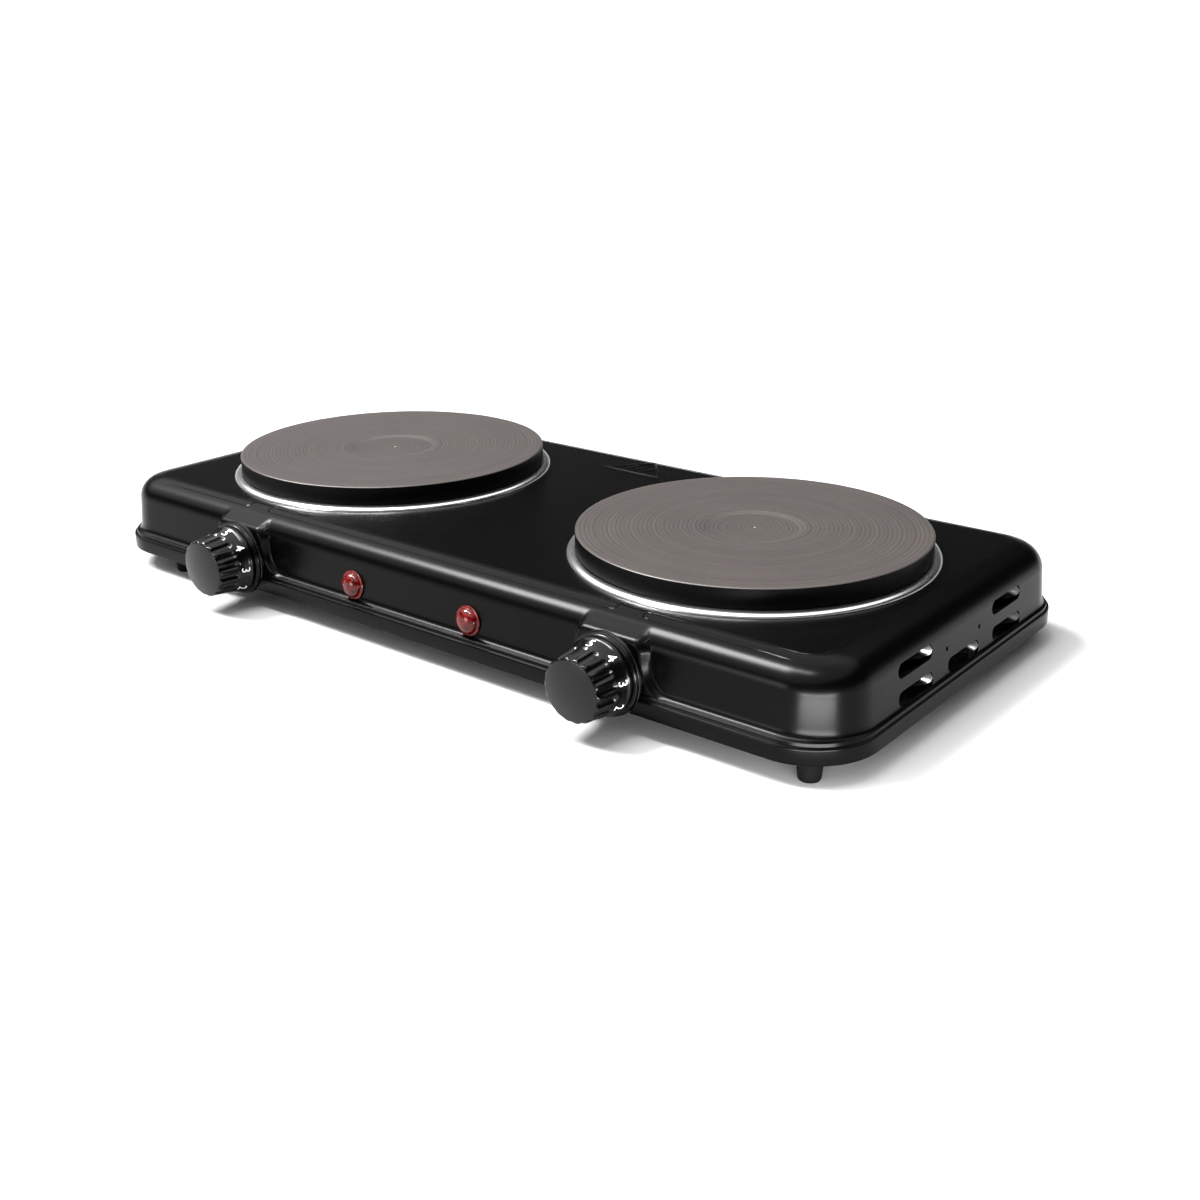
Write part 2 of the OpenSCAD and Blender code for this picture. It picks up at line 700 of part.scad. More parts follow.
module knob_bezel(side) {
    r = bezel_r;
    t = bezel_t;
    color("#0e0e0e") on_pad(side) rotate_extrude($fn = 96) polygon([
        [12, 0], [r, 0], [r, t * 0.36], [r - 0.7, t * 0.48], [r - 0.9, t * 0.8],
        [r - 1.5, t * 0.84], [r - 1.7, t], [12, t]]);
}

// Hollow dial knob with finger flutes, a domed cap and a hub for the spindle.
module knob(side) {
    r = knob_r;
    l = knob_l;
    wall = 2.2;
    hub = 6.5;
    color("#121212") on_pad(side) translate([0, 0, knob_z0]) difference() {
        rotate_extrude($fn = 96) polygon([
            [0, 1.5], [hub, 1.5], [hub, l - 4], [cap_r - 3, l - 5], [r - wall - 1.6, l * 0.3],
            [r - wall, 2], [r - wall, 0], [r, 0], [r, 1.6], [r - 0.4, 2.4], [r - 1.9, l * 0.27],
            [cap_r + 0.9, l * 0.6], [cap_r, l - 3], [cap_r - 0.7, l - 1.6], [cap_r - 2.4, l - 0.7],
            [cap_r * 0.6, l - 0.15], [0, l]]);
        for (i = [0:flute_n - 1]) rotate([0, 0, 360 * (i + 0.5) / flute_n])
            translate([cap_r + 1.3, 0, l * 0.42]) {
                cylinder(r = 1.25, h = l, $fn = 16);
                sphere(r = 1.3, $fn = 16);
            }
        intersection() {
            cylinder(r = spindle_r + touch, h = l - 7);
            translate([-5, -5, 0]) cube([10, 5 + spindle_r / 2 + 0.8, l]);
        }
    }
}

// Flat spring between the spindle's flat and the knob's bore.
module knob_clip(side) {
    color("silver") on_pad(side) translate([-2, spindle_r / 2 + touch, knob_z0 + 3]) cube([4, 0.65, 9]);
}

// ---- lights ----

module indicator_lens(side) {
    d = lens_r;
    dome = [for (a = [0:15:90]) [d * cos(a), 1.4 + 3.4 * sin(a)]];
    color("#c01818", 0.8) in_case() at_light(side) rotate_extrude(convexity = 4) polygon(concat(
        [[lamp_r + touch, -8], [tail_r, -8], [tail_r, light_seat], [lens_collar_r, light_seat],
         [lens_collar_r, 0.9], [d, 1.4]],
        dome, [[0, 3], [lamp_r + touch, 2]]));
}

module neon_lamp(side) {
    color("#ff9a70", 0.6) in_case() at_light(side) {
        translate([0, 0, -lamp_l]) cylinder(r = lamp_r, h = lamp_l);
        sphere(r = lamp_r * 0.6);
        for (e = SIDES) translate([e * 1.4, 0, -lamp_l - 6]) cylinder(r = 0.4, h = 7, $fn = 16);
    }
}

module lamp_clips() {
    color("silver") in_case() for (s = SIDES) at_light(s) translate([0, 0, -sheet - 0.1 - 1]) difference() {
        cylinder(r = tail_r + 3, h = 1);
        translate([0, 0, -1]) cylinder(r = tail_r + touch, h = 3);
    }
}

// ---- inlet and wiring ----

// Strain-relief gland in the rear wall, with the bore that the cord leaves by.
module cord_gland() {
    reach = case_d / 2 + gland_out - gland_face;
    color("#101010") in_case() translate([0, gland_face, gland_z]) rotate([-90, 0, 0]) difference() {
        union() {
            translate([0, 0, -10]) cylinder(r = gland_tail_r, h = 11);
            cylinder(r = gland_r + 1, h = 2);
            rotate_extrude() polygon([[0, 1], [gland_r, 1], [gland_r, reach * 0.45],
                                      [gland_r - 1.4, reach], [0, reach]]);
        }
        translate([0, 0, -12]) cylinder(r = gland_bore_r, h = reach + 14);
    }
}

module gland_nut() {
    color("#181818") in_case() translate([0, gland_face - nut_gap, gland_z]) rotate([90, 30, 0])
        hex_nut(gland_r + 1, gland_tail_r + touch, nut_t);
}

module terminal_block() {
    color("ivory") in_case() translate([0, block_y, floor_z]) difference() {
        translate([-block_w / 2, -block_d / 2, 0]) cube([block_w, block_d, block_h]);
        for (i = [-1:1], e = SIDES) translate([i * 10, e * 4, block_h - 6])
            cylinder(r = 1.55, h = 8, $fn = 32);
    }
}

module terminal_screws() {
    color("silver") in_case() for (i = [-1:1], e = SIDES)
        translate([i * 10, block_y + e * 4, floor_z + block_h - 6]) cylinder(r = 1.5, h = 6.6, $fn = 32);
}

module earth_stud() {
    color("#c8a24a") in_case() translate([40, block_y + 23, floor_z]) {
        cylinder(r = 4.5, h = 3, $fn = 6);
        cylinder(r = 2.5, h = 10, $fn = 32);
    }
}

// Leads of one hob: mains to thermostat, thermostat to plate, and plate back to mains.
module wire_loom(side) {
    px = plate_x;
    tab_y = pad_y - stat_back + tab_l + touch;
    tab_z = knob_z - tab_drop;
    block_x = block_w / 2 + touch;
    under = shield_z - term_h - touch;
    run = 8;
    color("#e9e4da") in_case() {
        wire(bent([[side * block_x, block_y - 4, wire_z], [side * (block_x + run), block_y - 4, wire_z],
                   [side * (px - 60), 40, wire_z], [side * (px - 36), -50, wire_z],
                   [side * (px - tab_x), tab_y + run, tab_z], [side * (px - tab_x), tab_y, tab_z]],
                  run * 0.4), wire_r);
        wire(bent([[side * (px + tab_x), tab_y, tab_z], [side * (px + tab_x), tab_y + run, tab_z],
                   [side * (px + 40), -50, wire_z], [side * (px + 40), 30, wire_z + 2],
                   [side * (px + lead_gap), term_y, under - run], [side * (px + lead_gap), term_y, under]],
                  run * 0.4), wire_r);
        wire(bent([[side * block_x, block_y + 4, wire_z + 3],
                   [side * (block_x + run), block_y + 4, wire_z + 3],
                   [side * (px - 40), block_y, wire_z + 2],
                   [side * (px - lead_gap), term_y, under - run], [side * (px - lead_gap), term_y, under]],
                  run * 0.4), wire_r);
    }
}

housing_shell();
base_plate();
base_screws();
hotplate(left);  // hotplate_left
hotplate(right);  // hotplate_right
trim_ring(left);  // trim_ring_left
trim_ring(right);  // trim_ring_right
heating_coil(left);  // heating_coil_left
heating_coil(right);  // heating_coil_right
filler(left);  // filler_left
filler(right);  // filler_right
heat_shield(left);  // heat_shield_left
heat_shield(right);  // heat_shield_right
centre_stud(left);  // centre_stud_left
centre_stud(right);  // centre_stud_right
clamp_bar(left);  // clamp_bar_left
clamp_bar(right);  // clamp_bar_right
stud_nuts();
plate_terminal(left);  // plate_terminal_left
plate_terminal(right);  // plate_terminal_right
thermostat(left);  // thermostat_left
thermostat(right);  // thermostat_right
thermostat_nuts();
plunger(left);  // plunger_left
plunger(right);  // plunger_right
spindle(left);  // spindle_left
spindle(right);  // spindle_right
knob_bezel(left);  // knob_bezel_left
knob_bezel(right);  // knob_bezel_right
knob(left);  // knob_left
knob(right);  // knob_right
knob_clip(left);  // knob_clip_left
knob_clip(right);  // knob_clip_right
indicator_lens(left);  // indicator_lens_left
indicator_lens(right);  // indicator_lens_right
neon_lamp(left);  // neon_lamp_left
neon_lamp(right);  // neon_lamp_right
lamp_clips();
foot(left, left);  // foot_front_left
foot(right, left);  // foot_front_right
foot(left, right);  // foot_rear_left
foot(right, right);  // foot_rear_right
foot_screws();
cord_gland();
gland_nut();
terminal_block();
terminal_screws();
earth_stud();
thermal_fuses();
wire_loom(left);  // wire_loom_left
wire_loom(right);  // wire_loom_right
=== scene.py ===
"""Portable double hot plate: the finished look of every piece, built around its CAD frame."""
import json
import logging
import math
from dataclasses import dataclass, field
from enum import Enum
from typing import Callable, Iterable

import bpy
from mathutils import Matrix, Vector


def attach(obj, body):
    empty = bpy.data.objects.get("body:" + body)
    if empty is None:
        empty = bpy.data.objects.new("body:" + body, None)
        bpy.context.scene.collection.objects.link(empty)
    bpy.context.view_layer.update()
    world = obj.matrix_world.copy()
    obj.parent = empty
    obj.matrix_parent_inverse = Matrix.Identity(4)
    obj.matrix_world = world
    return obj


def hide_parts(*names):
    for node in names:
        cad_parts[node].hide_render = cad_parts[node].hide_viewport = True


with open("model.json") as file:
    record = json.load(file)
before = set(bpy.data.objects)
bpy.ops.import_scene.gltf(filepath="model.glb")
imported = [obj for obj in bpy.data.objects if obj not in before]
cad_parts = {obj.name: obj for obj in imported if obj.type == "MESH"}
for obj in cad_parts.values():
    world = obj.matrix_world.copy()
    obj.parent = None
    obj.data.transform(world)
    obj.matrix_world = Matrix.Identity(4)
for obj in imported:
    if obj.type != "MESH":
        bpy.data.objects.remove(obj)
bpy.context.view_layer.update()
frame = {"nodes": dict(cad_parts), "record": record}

MM = 0.001
# Sizes shared by several pieces, in millimetres.
CASE_Y = 9.0  # how far the case's middle stands behind the frame's origin
PLATE_X = 134.4  # the plates, and the knobs in front of them, either side of the middle
CASE_DEPTH = 234.0
WALL_TOP_Z = 39.9  # where the wall turns into the shoulder
WALL_FOOT_Z = 23.0  # where the wall leaves the flange's fillet
DRAFT = 1.5  # how far the wall leans out between those two heights
FIELD_Z = 53.4  # the deck's field
KNOB_Z = 26.5
LIGHT_X = 42.7
LIGHT_Z = 29.1
GLAND_Z = 32.5
FOOT_Y = 110.0
Point = tuple[float, float]
Point3 = tuple[float, float, float]
Colour = tuple[float, float, float, float]
log = logging.getLogger("hot_plate")


class Side(Enum):
    """The two hobs, seen from the front."""

    LEFT = -1
    RIGHT = 1

    @property
    def word(self) -> str:
        """The side's name as the frame's node names end."""
        return self.name.lower()


# The right pair of feet stands further out than the left pair.
FOOT_X = {Side.RIGHT: 238.0, Side.LEFT: -206.0}


# ---------------------------------------------------------------- finishes


def linear(hex_colour: str) -> Colour:
    """Turn an sRGB hex value into a linear colour.

    Args:
        hex_colour: Six hex digits after a hash.

    Returns:
        Red, green, blue and an alpha of one.
    """
    parts = [int(hex_colour[i : i + 2], 16) / 255 for i in (1, 3, 5)]
    out = [c / 12.92 if c <= 0.04045 else ((c + 0.055) / 1.055) ** 2.4 for c in parts]
    return (out[0], out[1], out[2], 1.0)


def add_node(
    tree: bpy.types.NodeTree,
    kind: str,
    settings: dict[str, object] | None = None,
    sockets: dict[str | int, object] | None = None,
    out: str | int = 0,
) -> bpy.types.NodeSocket:
    """Add one node, with its settings, and its sockets set or linked.

    Args:
        tree: The tree that takes the node.
        kind: The node's type name.
        settings: Properties of the node itself.
        sockets: Input name or number to a value, or to an output to link from.
        out: The output that is handed back.

    Returns:
        The chosen output socket.
    """
    node = tree.nodes.new(kind)
    for key, value in (settings or {}).items():
        setattr(node, key, value)
    for key, value in (sockets or {}).items():
        if isinstance(value, bpy.types.NodeSocket):
            tree.links.new(value, node.inputs[key])
        else:
            node.inputs[key].default_value = value
    return node.outputs[out]


def shade(colour: Colour, share: float) -> Colour:
    """Scale a linear colour by a share, and keep its alpha at one."""
    return (colour[0] * share, colour[1] * share, colour[2] * share, 1.0)


@dataclass(frozen=True)
class Surface:
    """A material in the making: its tree, its Principled shader and its Object coordinates."""

    tree: bpy.types.NodeTree
    shader: bpy.types.Node
    place: bpy.types.NodeSocket

    def node(
        self,
        kind: str,
        settings: dict[str, object] | None = None,
        sockets: dict[str | int, object] | None = None,
        out: str | int = 0,
    ) -> bpy.types.NodeSocket:
        """Add one node to this material, in the way of add_node."""
        return add_node(self.tree, kind, settings, sockets, out)

    def feed(self, inputs: dict[str, bpy.types.NodeSocket]) -> None:
        """Link outputs to the shader's inputs, by the inputs' names."""
        for name, output in inputs.items():
            self.tree.links.new(output, self.shader.inputs[name])

    def noise(
        self,
        place: bpy.types.NodeSocket,
        grain_mm: float,
        detail: float,
        roughness: float = 0.5,
    ) -> bpy.types.NodeSocket:
        """Add a noise with a real grain size.

        Args:
            place: Coordinates to read, in metres.
            grain_mm: Size of one grain.
            detail: Number of finer layers.
            roughness: How strongly the finer layers show.

        Returns:
            The noise value.
        """
        return self.node(
            "ShaderNodeTexNoise",
            sockets={
                "Vector": place,
                "Scale": 1 / (grain_mm * MM),
                "Detail": detail,
                "Roughness": roughness,
            },
        )

    def cells(self, size_mm: float) -> bpy.types.NodeSocket:
        """Split the surface into cells, each with a value of its own.

        Args:
            size_mm: Size of one cell.

        Returns:
            The value, which is constant over each cell.
        """
        colours = self.node(
            "ShaderNodeTexVoronoi",
            {"feature": "F1"},
            {"Vector": self.place, "Scale": 1 / (size_mm * MM)},
            out="Color",
        )
        return self.node("ShaderNodeSeparateColor", sockets={"Color": colours})

    def blend(
        self, share: bpy.types.NodeSocket, first: Colour, second: Colour
    ) -> bpy.types.NodeSocket:
        """Mix two colours by a share."""
        settings = {"data_type": "RGBA"}
        return self.node("ShaderNodeMix", settings, {0: share, 6: first, 7: second}, out=2)

    def spread(self, value: bpy.types.NodeSocket, low: float, high: float) -> bpy.types.NodeSocket:
        """Stretch a value that runs from 0 to 1 over another range."""
        sockets = {"Value": value, "To Min": low, "To Max": high}
        return self.node("ShaderNodeMapRange", sockets=sockets)

    def bump(
        self, height: bpy.types.NodeSocket, relief_mm: float, strength: float = 1.0
    ) -> bpy.types.NodeSocket:
        """Turn a height into a normal.

        Args:
            height: The height, from 0 to 1.
            relief_mm: What a height of 1 stands for.
            strength: How much of the effect shows.

        Returns:
            The normal.
        """
        sockets = {"Height": height, "Distance": relief_mm * MM, "Strength": strength}
        return self.node("ShaderNodeBump", sockets=sockets)


@dataclass(frozen=True)
class Finish:
    """A surface finish, and the material that it makes."""

    name: str
    colour: str
    roughness: float = 0.5
    metallic: float = 0.0
    ior: float = 1.5
    specular: float = 0.5
    coat: float = 0.0
    transmission: float = 0.0

    def build(self) -> bpy.types.Material:
        """Make the material once, and hand the same one back after that.

        Returns:
            The material.
        """
        found = bpy.data.materials.get(self.name)
        if found:
            return found
        material = bpy.data.materials.new(self.name)
        material.use_nodes = True
        tree = material.node_tree
        shader = next(n for n in tree.nodes if n.type == "BSDF_PRINCIPLED")
        constants = {
            "Base Color": linear(self.colour),
            "Roughness": self.roughness,
            "Metallic": self.metallic,
            "Specular IOR Level": self.specular,
            "Coat Weight": self.coat,
            "Coat Roughness": 0.06,
            "Transmission Weight": self.transmission,
        }
        if self.metallic < 1:
            constants["IOR"] = self.ior
        for key, value in constants.items():
            shader.inputs[key].default_value = value
        place = add_node(tree, "ShaderNodeTexCoord", out="Object")
        self.dress(Surface(tree, shader, place))
        return material

    def dress(self, surface: Surface) -> None:
        """Add the finish's own pattern; a plain finish has fine mottling only."""
        self.mottle(surface, surface.place, grain_mm=3.0, tint=0.12)

    def mottle(
        self,
        surface: Surface,
        place: bpy.types.NodeSocket,
        grain_mm: float,
        tint: float,
        relief_mm: float = 0.0,
        rough_spread: float = 0.06,
    ) -> None:
        """Vary colour, roughness and height by one noise of a real grain size.

        Args:
            surface: The material in the making.
            place: Coordinates to read.
            grain_mm: Size of one grain.
            tint: How far the colour varies, as a share.
            relief_mm: Height of the grain, or none.
            rough_spread: How far roughness varies.
        """
        grain = surface.noise(place, grain_mm, detail=4.0, roughness=0.6)
        base = linear(self.colour)
        low = max(0.02, self.roughness - rough_spread)
        surface.feed({
            "Base Color": surface.blend(grain, shade(base, 1 - tint), shade(base, 1 + tint)),
            "Roughness": surface.spread(grain, low, self.roughness + rough_spread),
        })
        if relief_mm:
            surface.feed({"Normal": surface.bump(grain, relief_mm)})


@dataclass(frozen=True)
class StovedEnamel(Finish):
    """Black stoved enamel: glossy, with the faint orange peel of a sprayed coat."""

    peel_mm: float = 2.2

    def dress(self, surface: Surface) -> None:
        """Add the coat's orange peel and its faint clouding."""
        relief, spread = 0.0006, 0.02
        self.mottle(surface, surface.place, self.peel_mm, 0.1, relief, spread)


@dataclass(frozen=True)
class TurnedIron(Finish):
    """Cast iron turned on a lathe: rings at the tool's feed, and streaks along them, partly the
    iron's own tone and partly a painted sheen.
    """

    centre_x: float = 0.0
    feed_mm: float = 2.3
    sheen_streak_mm: float = 2.8
    cloud_mm: float = 45.0
    relief_mm: float = 0.14

    def dress(self, surface: Surface) -> None:
        """Add tool rings about the plate's centre, and streaks that follow them, with a painted
        sheen of the turned metal in their light and dark bands.

        Args:
            surface: The material in the making.
        """
        centre = (-self.centre_x * MM, -CASE_Y * MM, 0.0)
        local = surface.node(
            "ShaderNodeMapping", sockets={"Vector": surface.place, "Location": centre}
        )
        flat = surface.node(
            "ShaderNodeVectorMath", {"operation": "MULTIPLY"}, {0: local, 1: (1.0, 1.0, 0.0)}
        )
        reach = surface.node(
            "ShaderNodeVectorMath", {"operation": "LENGTH"}, {0: flat}, out="Value"
        )
        # a wave's rings repeat every 2 pi / 20 of its scaled distance
        rings = surface.node(
            "ShaderNodeTexWave",
            {"wave_type": "RINGS", "rings_direction": "SPHERICAL", "wave_profile": "SIN"},
            {"Vector": flat, "Scale": math.tau / 20 / (self.feed_mm * MM), "Distortion": 0.0},
            out="Fac",
        )
        along = surface.node("ShaderNodeCombineXYZ", sockets={0: reach, 1: 0.0, 2: 0.0})
        streaks_and_sheen = surface.noise(along, self.sheen_streak_mm, detail=5.0, roughness=0.75)
        clouds = surface.noise(surface.place, self.cloud_mm, detail=3.0)
        weighted = {"operation": "MULTIPLY_ADD"}
        mixed = surface.node("ShaderNodeMath", weighted, {0: rings, 1: 0.35, 2: streaks_and_sheen})
        tone = surface.node("ShaderNodeMath", weighted, {0: clouds, 1: 0.35, 2: mixed})
        grey = surface.node("ShaderNodeCombineXYZ", sockets={0: tone, 1: tone, 2: tone})
        base = linear(self.colour)
        # inputs 7 and 8 are the vector range that comes in, 9 and 10 the one that goes out
        # the rings and streaks lighten and darken the colour: partly the iron's own tone, partly a
        # painted sheen of the turned surface
        colour = surface.node(
            "ShaderNodeMapRange",
            {"data_type": "FLOAT_VECTOR"},
            {
                "Vector": grey,
                7: (0.45,) * 3,
                8: (1.4,) * 3,
                9: shade(base, 0.6)[:3],
                10: shade(base, 1.45)[:3],
            },
            out="Vector",
        )
        surface.feed({
            "Base Color": colour,
            "Roughness": surface.spread(streaks_and_sheen, self.roughness - 0.06, self.roughness + 0.06),
            "Normal": surface.bump(mixed, self.relief_mm, 0.8),
        })


@dataclass(frozen=True)
class DrawnSteel(Finish):
    """Sheet or bar with a drawn or rolled grain that runs along X."""

    grain_mm: float = 0.4
    stretch: float = 20.0

    def dress(self, surface: Surface) -> None:
        """Stretch the grain along X, as rolling leaves it.

        Args:
            surface: The material in the making.
        """
        drawn = surface.node(
            "ShaderNodeMapping",
            sockets={"Vector": surface.place, "Scale": (1 / self.stretch, 1.0, 1.0)},
        )
        self.mottle(surface, drawn, self.grain_mm, tint=0.08, relief_mm=0.004)


@dataclass(frozen=True)
class Spangle(Finish):
    """Hot-dip zinc: flat crystals a few millimetres across, each of its own tone."""

    crystal_mm: float = 7.0

    def dress(self, surface: Surface) -> None:
        """Give each crystal a tone and a roughness of its own.

        Args:
            surface: The material in the making.
        """
        tone = surface.cells(self.crystal_mm)
        base = linear(self.colour)
        surface.feed({
            "Base Color": surface.blend(tone, shade(base, 0.75), base),
            "Roughness": surface.spread(tone, self.roughness - 0.1, self.roughness + 0.12),
        })


@dataclass(frozen=True)
class MouldedLens(Finish):
    """Clear red moulding over a prismatic back; the light and shade of its small facets are painted
    into the colour.
    """

    facet_mm: float = 1.3
    # a dark red that paints the shade of some facets
    shaded_facet: str = "#1c0202"

    def dress(self, surface: Surface) -> None:
        """Break the colour into small facets, each between a dark red of painted shade and the
        lens's own red.
        """
        tone = surface.cells(self.facet_mm)
        surface.feed({"Base Color": surface.blend(tone, linear(self.shaded_facet), linear(self.colour))})


# Enamel over pressed steel: near-black, with blurred reflections.
ENAMEL = StovedEnamel("black_stoved_enamel", "#010101", roughness=0.26, specular=0.075)
# A lit copy of the enamel for the vents' bent tongues: a little lighter and about ten times as
# reflective, so the lamps put painted highlights on them.
GLINT_ENAMEL = StovedEnamel("glint_black_enamel", "#020202", roughness=0.2, specular=0.8)
# The turned top of each plate keeps a warm grey burnt-in finish.
IRON_TOP = {
    side: TurnedIron(
        f"turned_cast_iron_{side.word}", "#3d3836", roughness=0.4, metallic=0.35,
        centre_x=side.value * PLATE_X,
    )
    for side in Side
}
# The plate's rim keeps its black heat-proof paint.
IRON_SIDE = StovedEnamel("black_heatproof_paint", "#010101", roughness=0.45, specular=0.05)
# Stainless strip, rolled bright and lightly scuffed.
STAINLESS = DrawnSteel("polished_stainless", "#e6e6e4", roughness=0.24, metallic=1.0)
# Phenolic moulding: black, hard and glossy from the mould.
PHENOLIC = StovedEnamel(
    "gloss_phenolic_moulding", "#020202", roughness=0.2, ior=1.6, specular=0.2, peel_mm=1.6
)
# Pad-printed ink, slightly uneven where it is thin.
PRINT = Finish("white_pad_print", "#f4f4f2", roughness=0.45)
# Clear red acrylic.
LENS = MouldedLens("clear_red_acrylic", "#5e0806", roughness=0.16, specular=0.3, coat=0.06)
# Matt black rubber with a dusty bloom.
RUBBER = Finish("black_rubber", "#040404", roughness=0.75, specular=0.08)
# Moulded nylon with the fine texture of its mould.
NYLON = Finish("moulded_nylon", "#131314", roughness=0.45)
# Carried-over CAD pieces, by material slot.
SLOT_FINISHES: dict[str, Finish] = {
    "black_enamel": ENAMEL,
    "galvanised_steel": Spangle("galvanised_sheet", "#9a9c9e", roughness=0.42, metallic=1.0),
    "zinc_steel": DrawnSteel("bright_zinc_plate", "#b9bbbb", roughness=0.3, metallic=1.0),
    "spring_steel": DrawnSteel("rolled_spring_steel", "#8f9294", roughness=0.32, metallic=1.0),
    "cast_iron": IRON_SIDE,
    "stainless_ring": STAINLESS,
    "coil_alloy": DrawnSteel("heat_browned_alloy", "#6e5a48", roughness=0.5, metallic=1.0),
    "magnesia": Finish("pressed_magnesia", "#d6cfbd", roughness=0.9),
    "aluminised_sheet": Spangle("aluminised_sheet", "#b4b8ba", roughness=0.4, metallic=1.0),
    "ceramic": Finish("unglazed_steatite", "#e2dccb", roughness=0.7),
    "brass": DrawnSteel("turned_brass", "#c9a35a", roughness=0.28, metallic=1.0),
    "phenolic_black": PHENOLIC,
    "lens_red": LENS,
    "neon_glass": Finish("neon_lamp_glass", "#f0b090", roughness=0.05, transmission=0.8),
    "foot_rubber": RUBBER,
    "nylon_black": NYLON,
    "fuse_body": Finish("resin_sealed_fuse", "#b09a68", roughness=0.6),
    "lead_silicone": Finish("silicone_lead", "#e0dacb", roughness=0.6),
}


# ---------------------------------------------------------------- the bench


class Bench:
    """Modelling steps that the sub-assemblies share. Sizes are in millimetres."""

    @staticmethod
    def clear() -> None:
        """Leave edit mode and deselect everything."""
        if bpy.context.object and bpy.context.object.mode != "OBJECT":
            bpy.ops.object.mode_set(mode="OBJECT")
        bpy.ops.object.select_all(action="DESELECT")

    @staticmethod
    def pick(*objects: bpy.types.Object) -> bpy.types.Object:
        """Select these objects alone, the first one active, and return it.

        Args:
            objects: What to select.

        Returns:
            The first object.
        """
        Bench.clear()
        for item in objects:
            item.select_set(True)
        bpy.context.view_layer.objects.active = objects[0]
        return objects[0]

    @staticmethod
    def named(name: str) -> bpy.types.Object:
        """Name the active object and its mesh, and return it.

        Args:
            name: The name for both.

        Returns:
            The active object.
        """
        item = bpy.context.object
        item.name = name
        item.data.name = name
        return item

    @staticmethod
    def place(item: bpy.types.Object, where: Matrix) -> bpy.types.Object:
        """Put a place, in millimetres, into the mesh, so the object stays at the origin.

        Args:
            item: The object.
            where: The place.

        Returns:
            The same object.
        """
        Bench.pick(item)
        shift = where.to_translation() * MM
        item.matrix_world = Matrix.Translation(shift) @ where.to_3x3().to_4x4()
        bpy.ops.object.transform_apply(location=True, rotation=True, scale=True)
        return item

    @staticmethod
    def tidy(item: bpy.types.Object, merge_mm: float = 0.002) -> None:
        """Merge doubles and point every face outwards.

        Args:
            item: The object.
            merge_mm: How near two vertices have to be to become one.
        """
        Bench.pick(item)
        bpy.ops.object.mode_set(mode="EDIT")
        bpy.ops.mesh.select_all(action="SELECT")
        bpy.ops.mesh.remove_doubles(threshold=merge_mm * MM)
        bpy.ops.mesh.normals_make_consistent(inside=False)
        bpy.ops.object.mode_set(mode="OBJECT")

    @staticmethod
    def close(item: bpy.types.Object, across: bool = False) -> None:
        """Fill a sheet's open edges and point every face outwards.

        Args:
            item: The object.
            across: Whether to lay one face across the open edges first.
        """
        Bench.pick(item)
        bpy.ops.object.mode_set(mode="EDIT")
        bpy.ops.mesh.select_all(action="DESELECT")
        bpy.ops.mesh.select_mode(type="EDGE")
        bpy.ops.mesh.select_non_manifold()
        if across:
            bpy.ops.mesh.edge_face_add()
            bpy.ops.mesh.select_all(action="DESELECT")
            bpy.ops.mesh.select_non_manifold()
        bpy.ops.mesh.fill_holes(sides=0)
        bpy.ops.mesh.select_all(action="SELECT")
        bpy.ops.mesh.normals_make_consistent(inside=False)
        bpy.ops.object.mode_set(mode="OBJECT")

    @staticmethod
    def smooth(item: bpy.types.Object, degrees: float = 35.0) -> None:
        """Shade smooth, with edges sharper than an angle kept."""
        Bench.pick(item)
        bpy.ops.object.shade_smooth_by_angle(angle=math.radians(degrees))

    @staticmethod
    def modifier(item: bpy.types.Object, kind: str, **settings: object) -> None:
        """Add a modifier, set it and apply it.

        Args:
            item: The object.
            kind: The modifier's type.
            settings: The modifier's properties.
        """
        Bench.pick(item)
        added = item.modifiers.new(kind.title(), kind)
        for key, value in settings.items():
            setattr(added, key, value)
        bpy.ops.object.modifier_apply(modifier=added.name)

    @staticmethod
    def lathe(name: str, outline: list[Point], steps: int, closed: bool = True) -> bpy.types.Object:
        """Turn an outline about Z, as a lathe or a spinning tool would.

        Args:
            name: Name of the new object.
            outline: Radius and height of each point, in millimetres.
            steps: Number of steps in the full turn.
            closed: Whether the outline's end joins its start.

        Returns:
            The new object.
        """
        Bench.clear()
        bpy.ops.mesh.primitive_plane_add(size=1 * MM)
        item = Bench.named(name)
        bpy.ops.object.mode_set(mode="EDIT")
        bpy.ops.mesh.select_mode(type="VERT")
        bpy.ops.mesh.select_all(action="SELECT")
        bpy.ops.mesh.merge(type="CENTER")
        first = Vector((outline[0][0], 0.0, outline[0][1])) * MM
        bpy.ops.transform.translate(value=first)
        path = outline[1:] + (outline[:1] if closed else [])
        at = first
        for radius, height in path:
            target = Vector((radius, 0.0, height)) * MM
            bpy.ops.mesh.extrude_vertices_move(TRANSFORM_OT_translate={"value": target - at})
            at = target
        bpy.ops.mesh.select_all(action="SELECT")
        bpy.ops.mesh.remove_doubles(threshold=0.001 * MM)
        bpy.ops.mesh.select_all(action="SELECT")
        bpy.ops.mesh.spin(
            steps=steps, angle=math.tau, center=(0, 0, 0), axis=(0, 0, 1), use_auto_merge=True
        )
        bpy.ops.object.mode_set(mode="OBJECT")
        Bench.tidy(item)
        Bench.smooth(item)
        return item

    @staticmethod
    def sheet(
        name: str, columns: int, rows: int, where: Callable[[int, int], Vector]
    ) -> bpy.types.Object:
        """Shape a grid's vertices one by one, as a sheet is drawn over a tool.

        Args:
            name: Name of the new object.
            columns: Number of vertices across.
            rows: Number of vertices up.
            where: Gives a vertex's place in millimetres from its column and row.

        Returns:
            The new object.
        """
        Bench.clear()
        bpy.ops.mesh.primitive_grid_add(
            x_subdivisions=columns - 1, y_subdivisions=rows - 1, size=2.0
        )
        item = Bench.named(name)
        for vertex in item.data.vertices:
            column = round((vertex.co.x + 1) / 2 * (columns - 1))
            row = round((vertex.co.y + 1) / 2 * (rows - 1))
            vertex.co = where(column, row) * MM
        return item

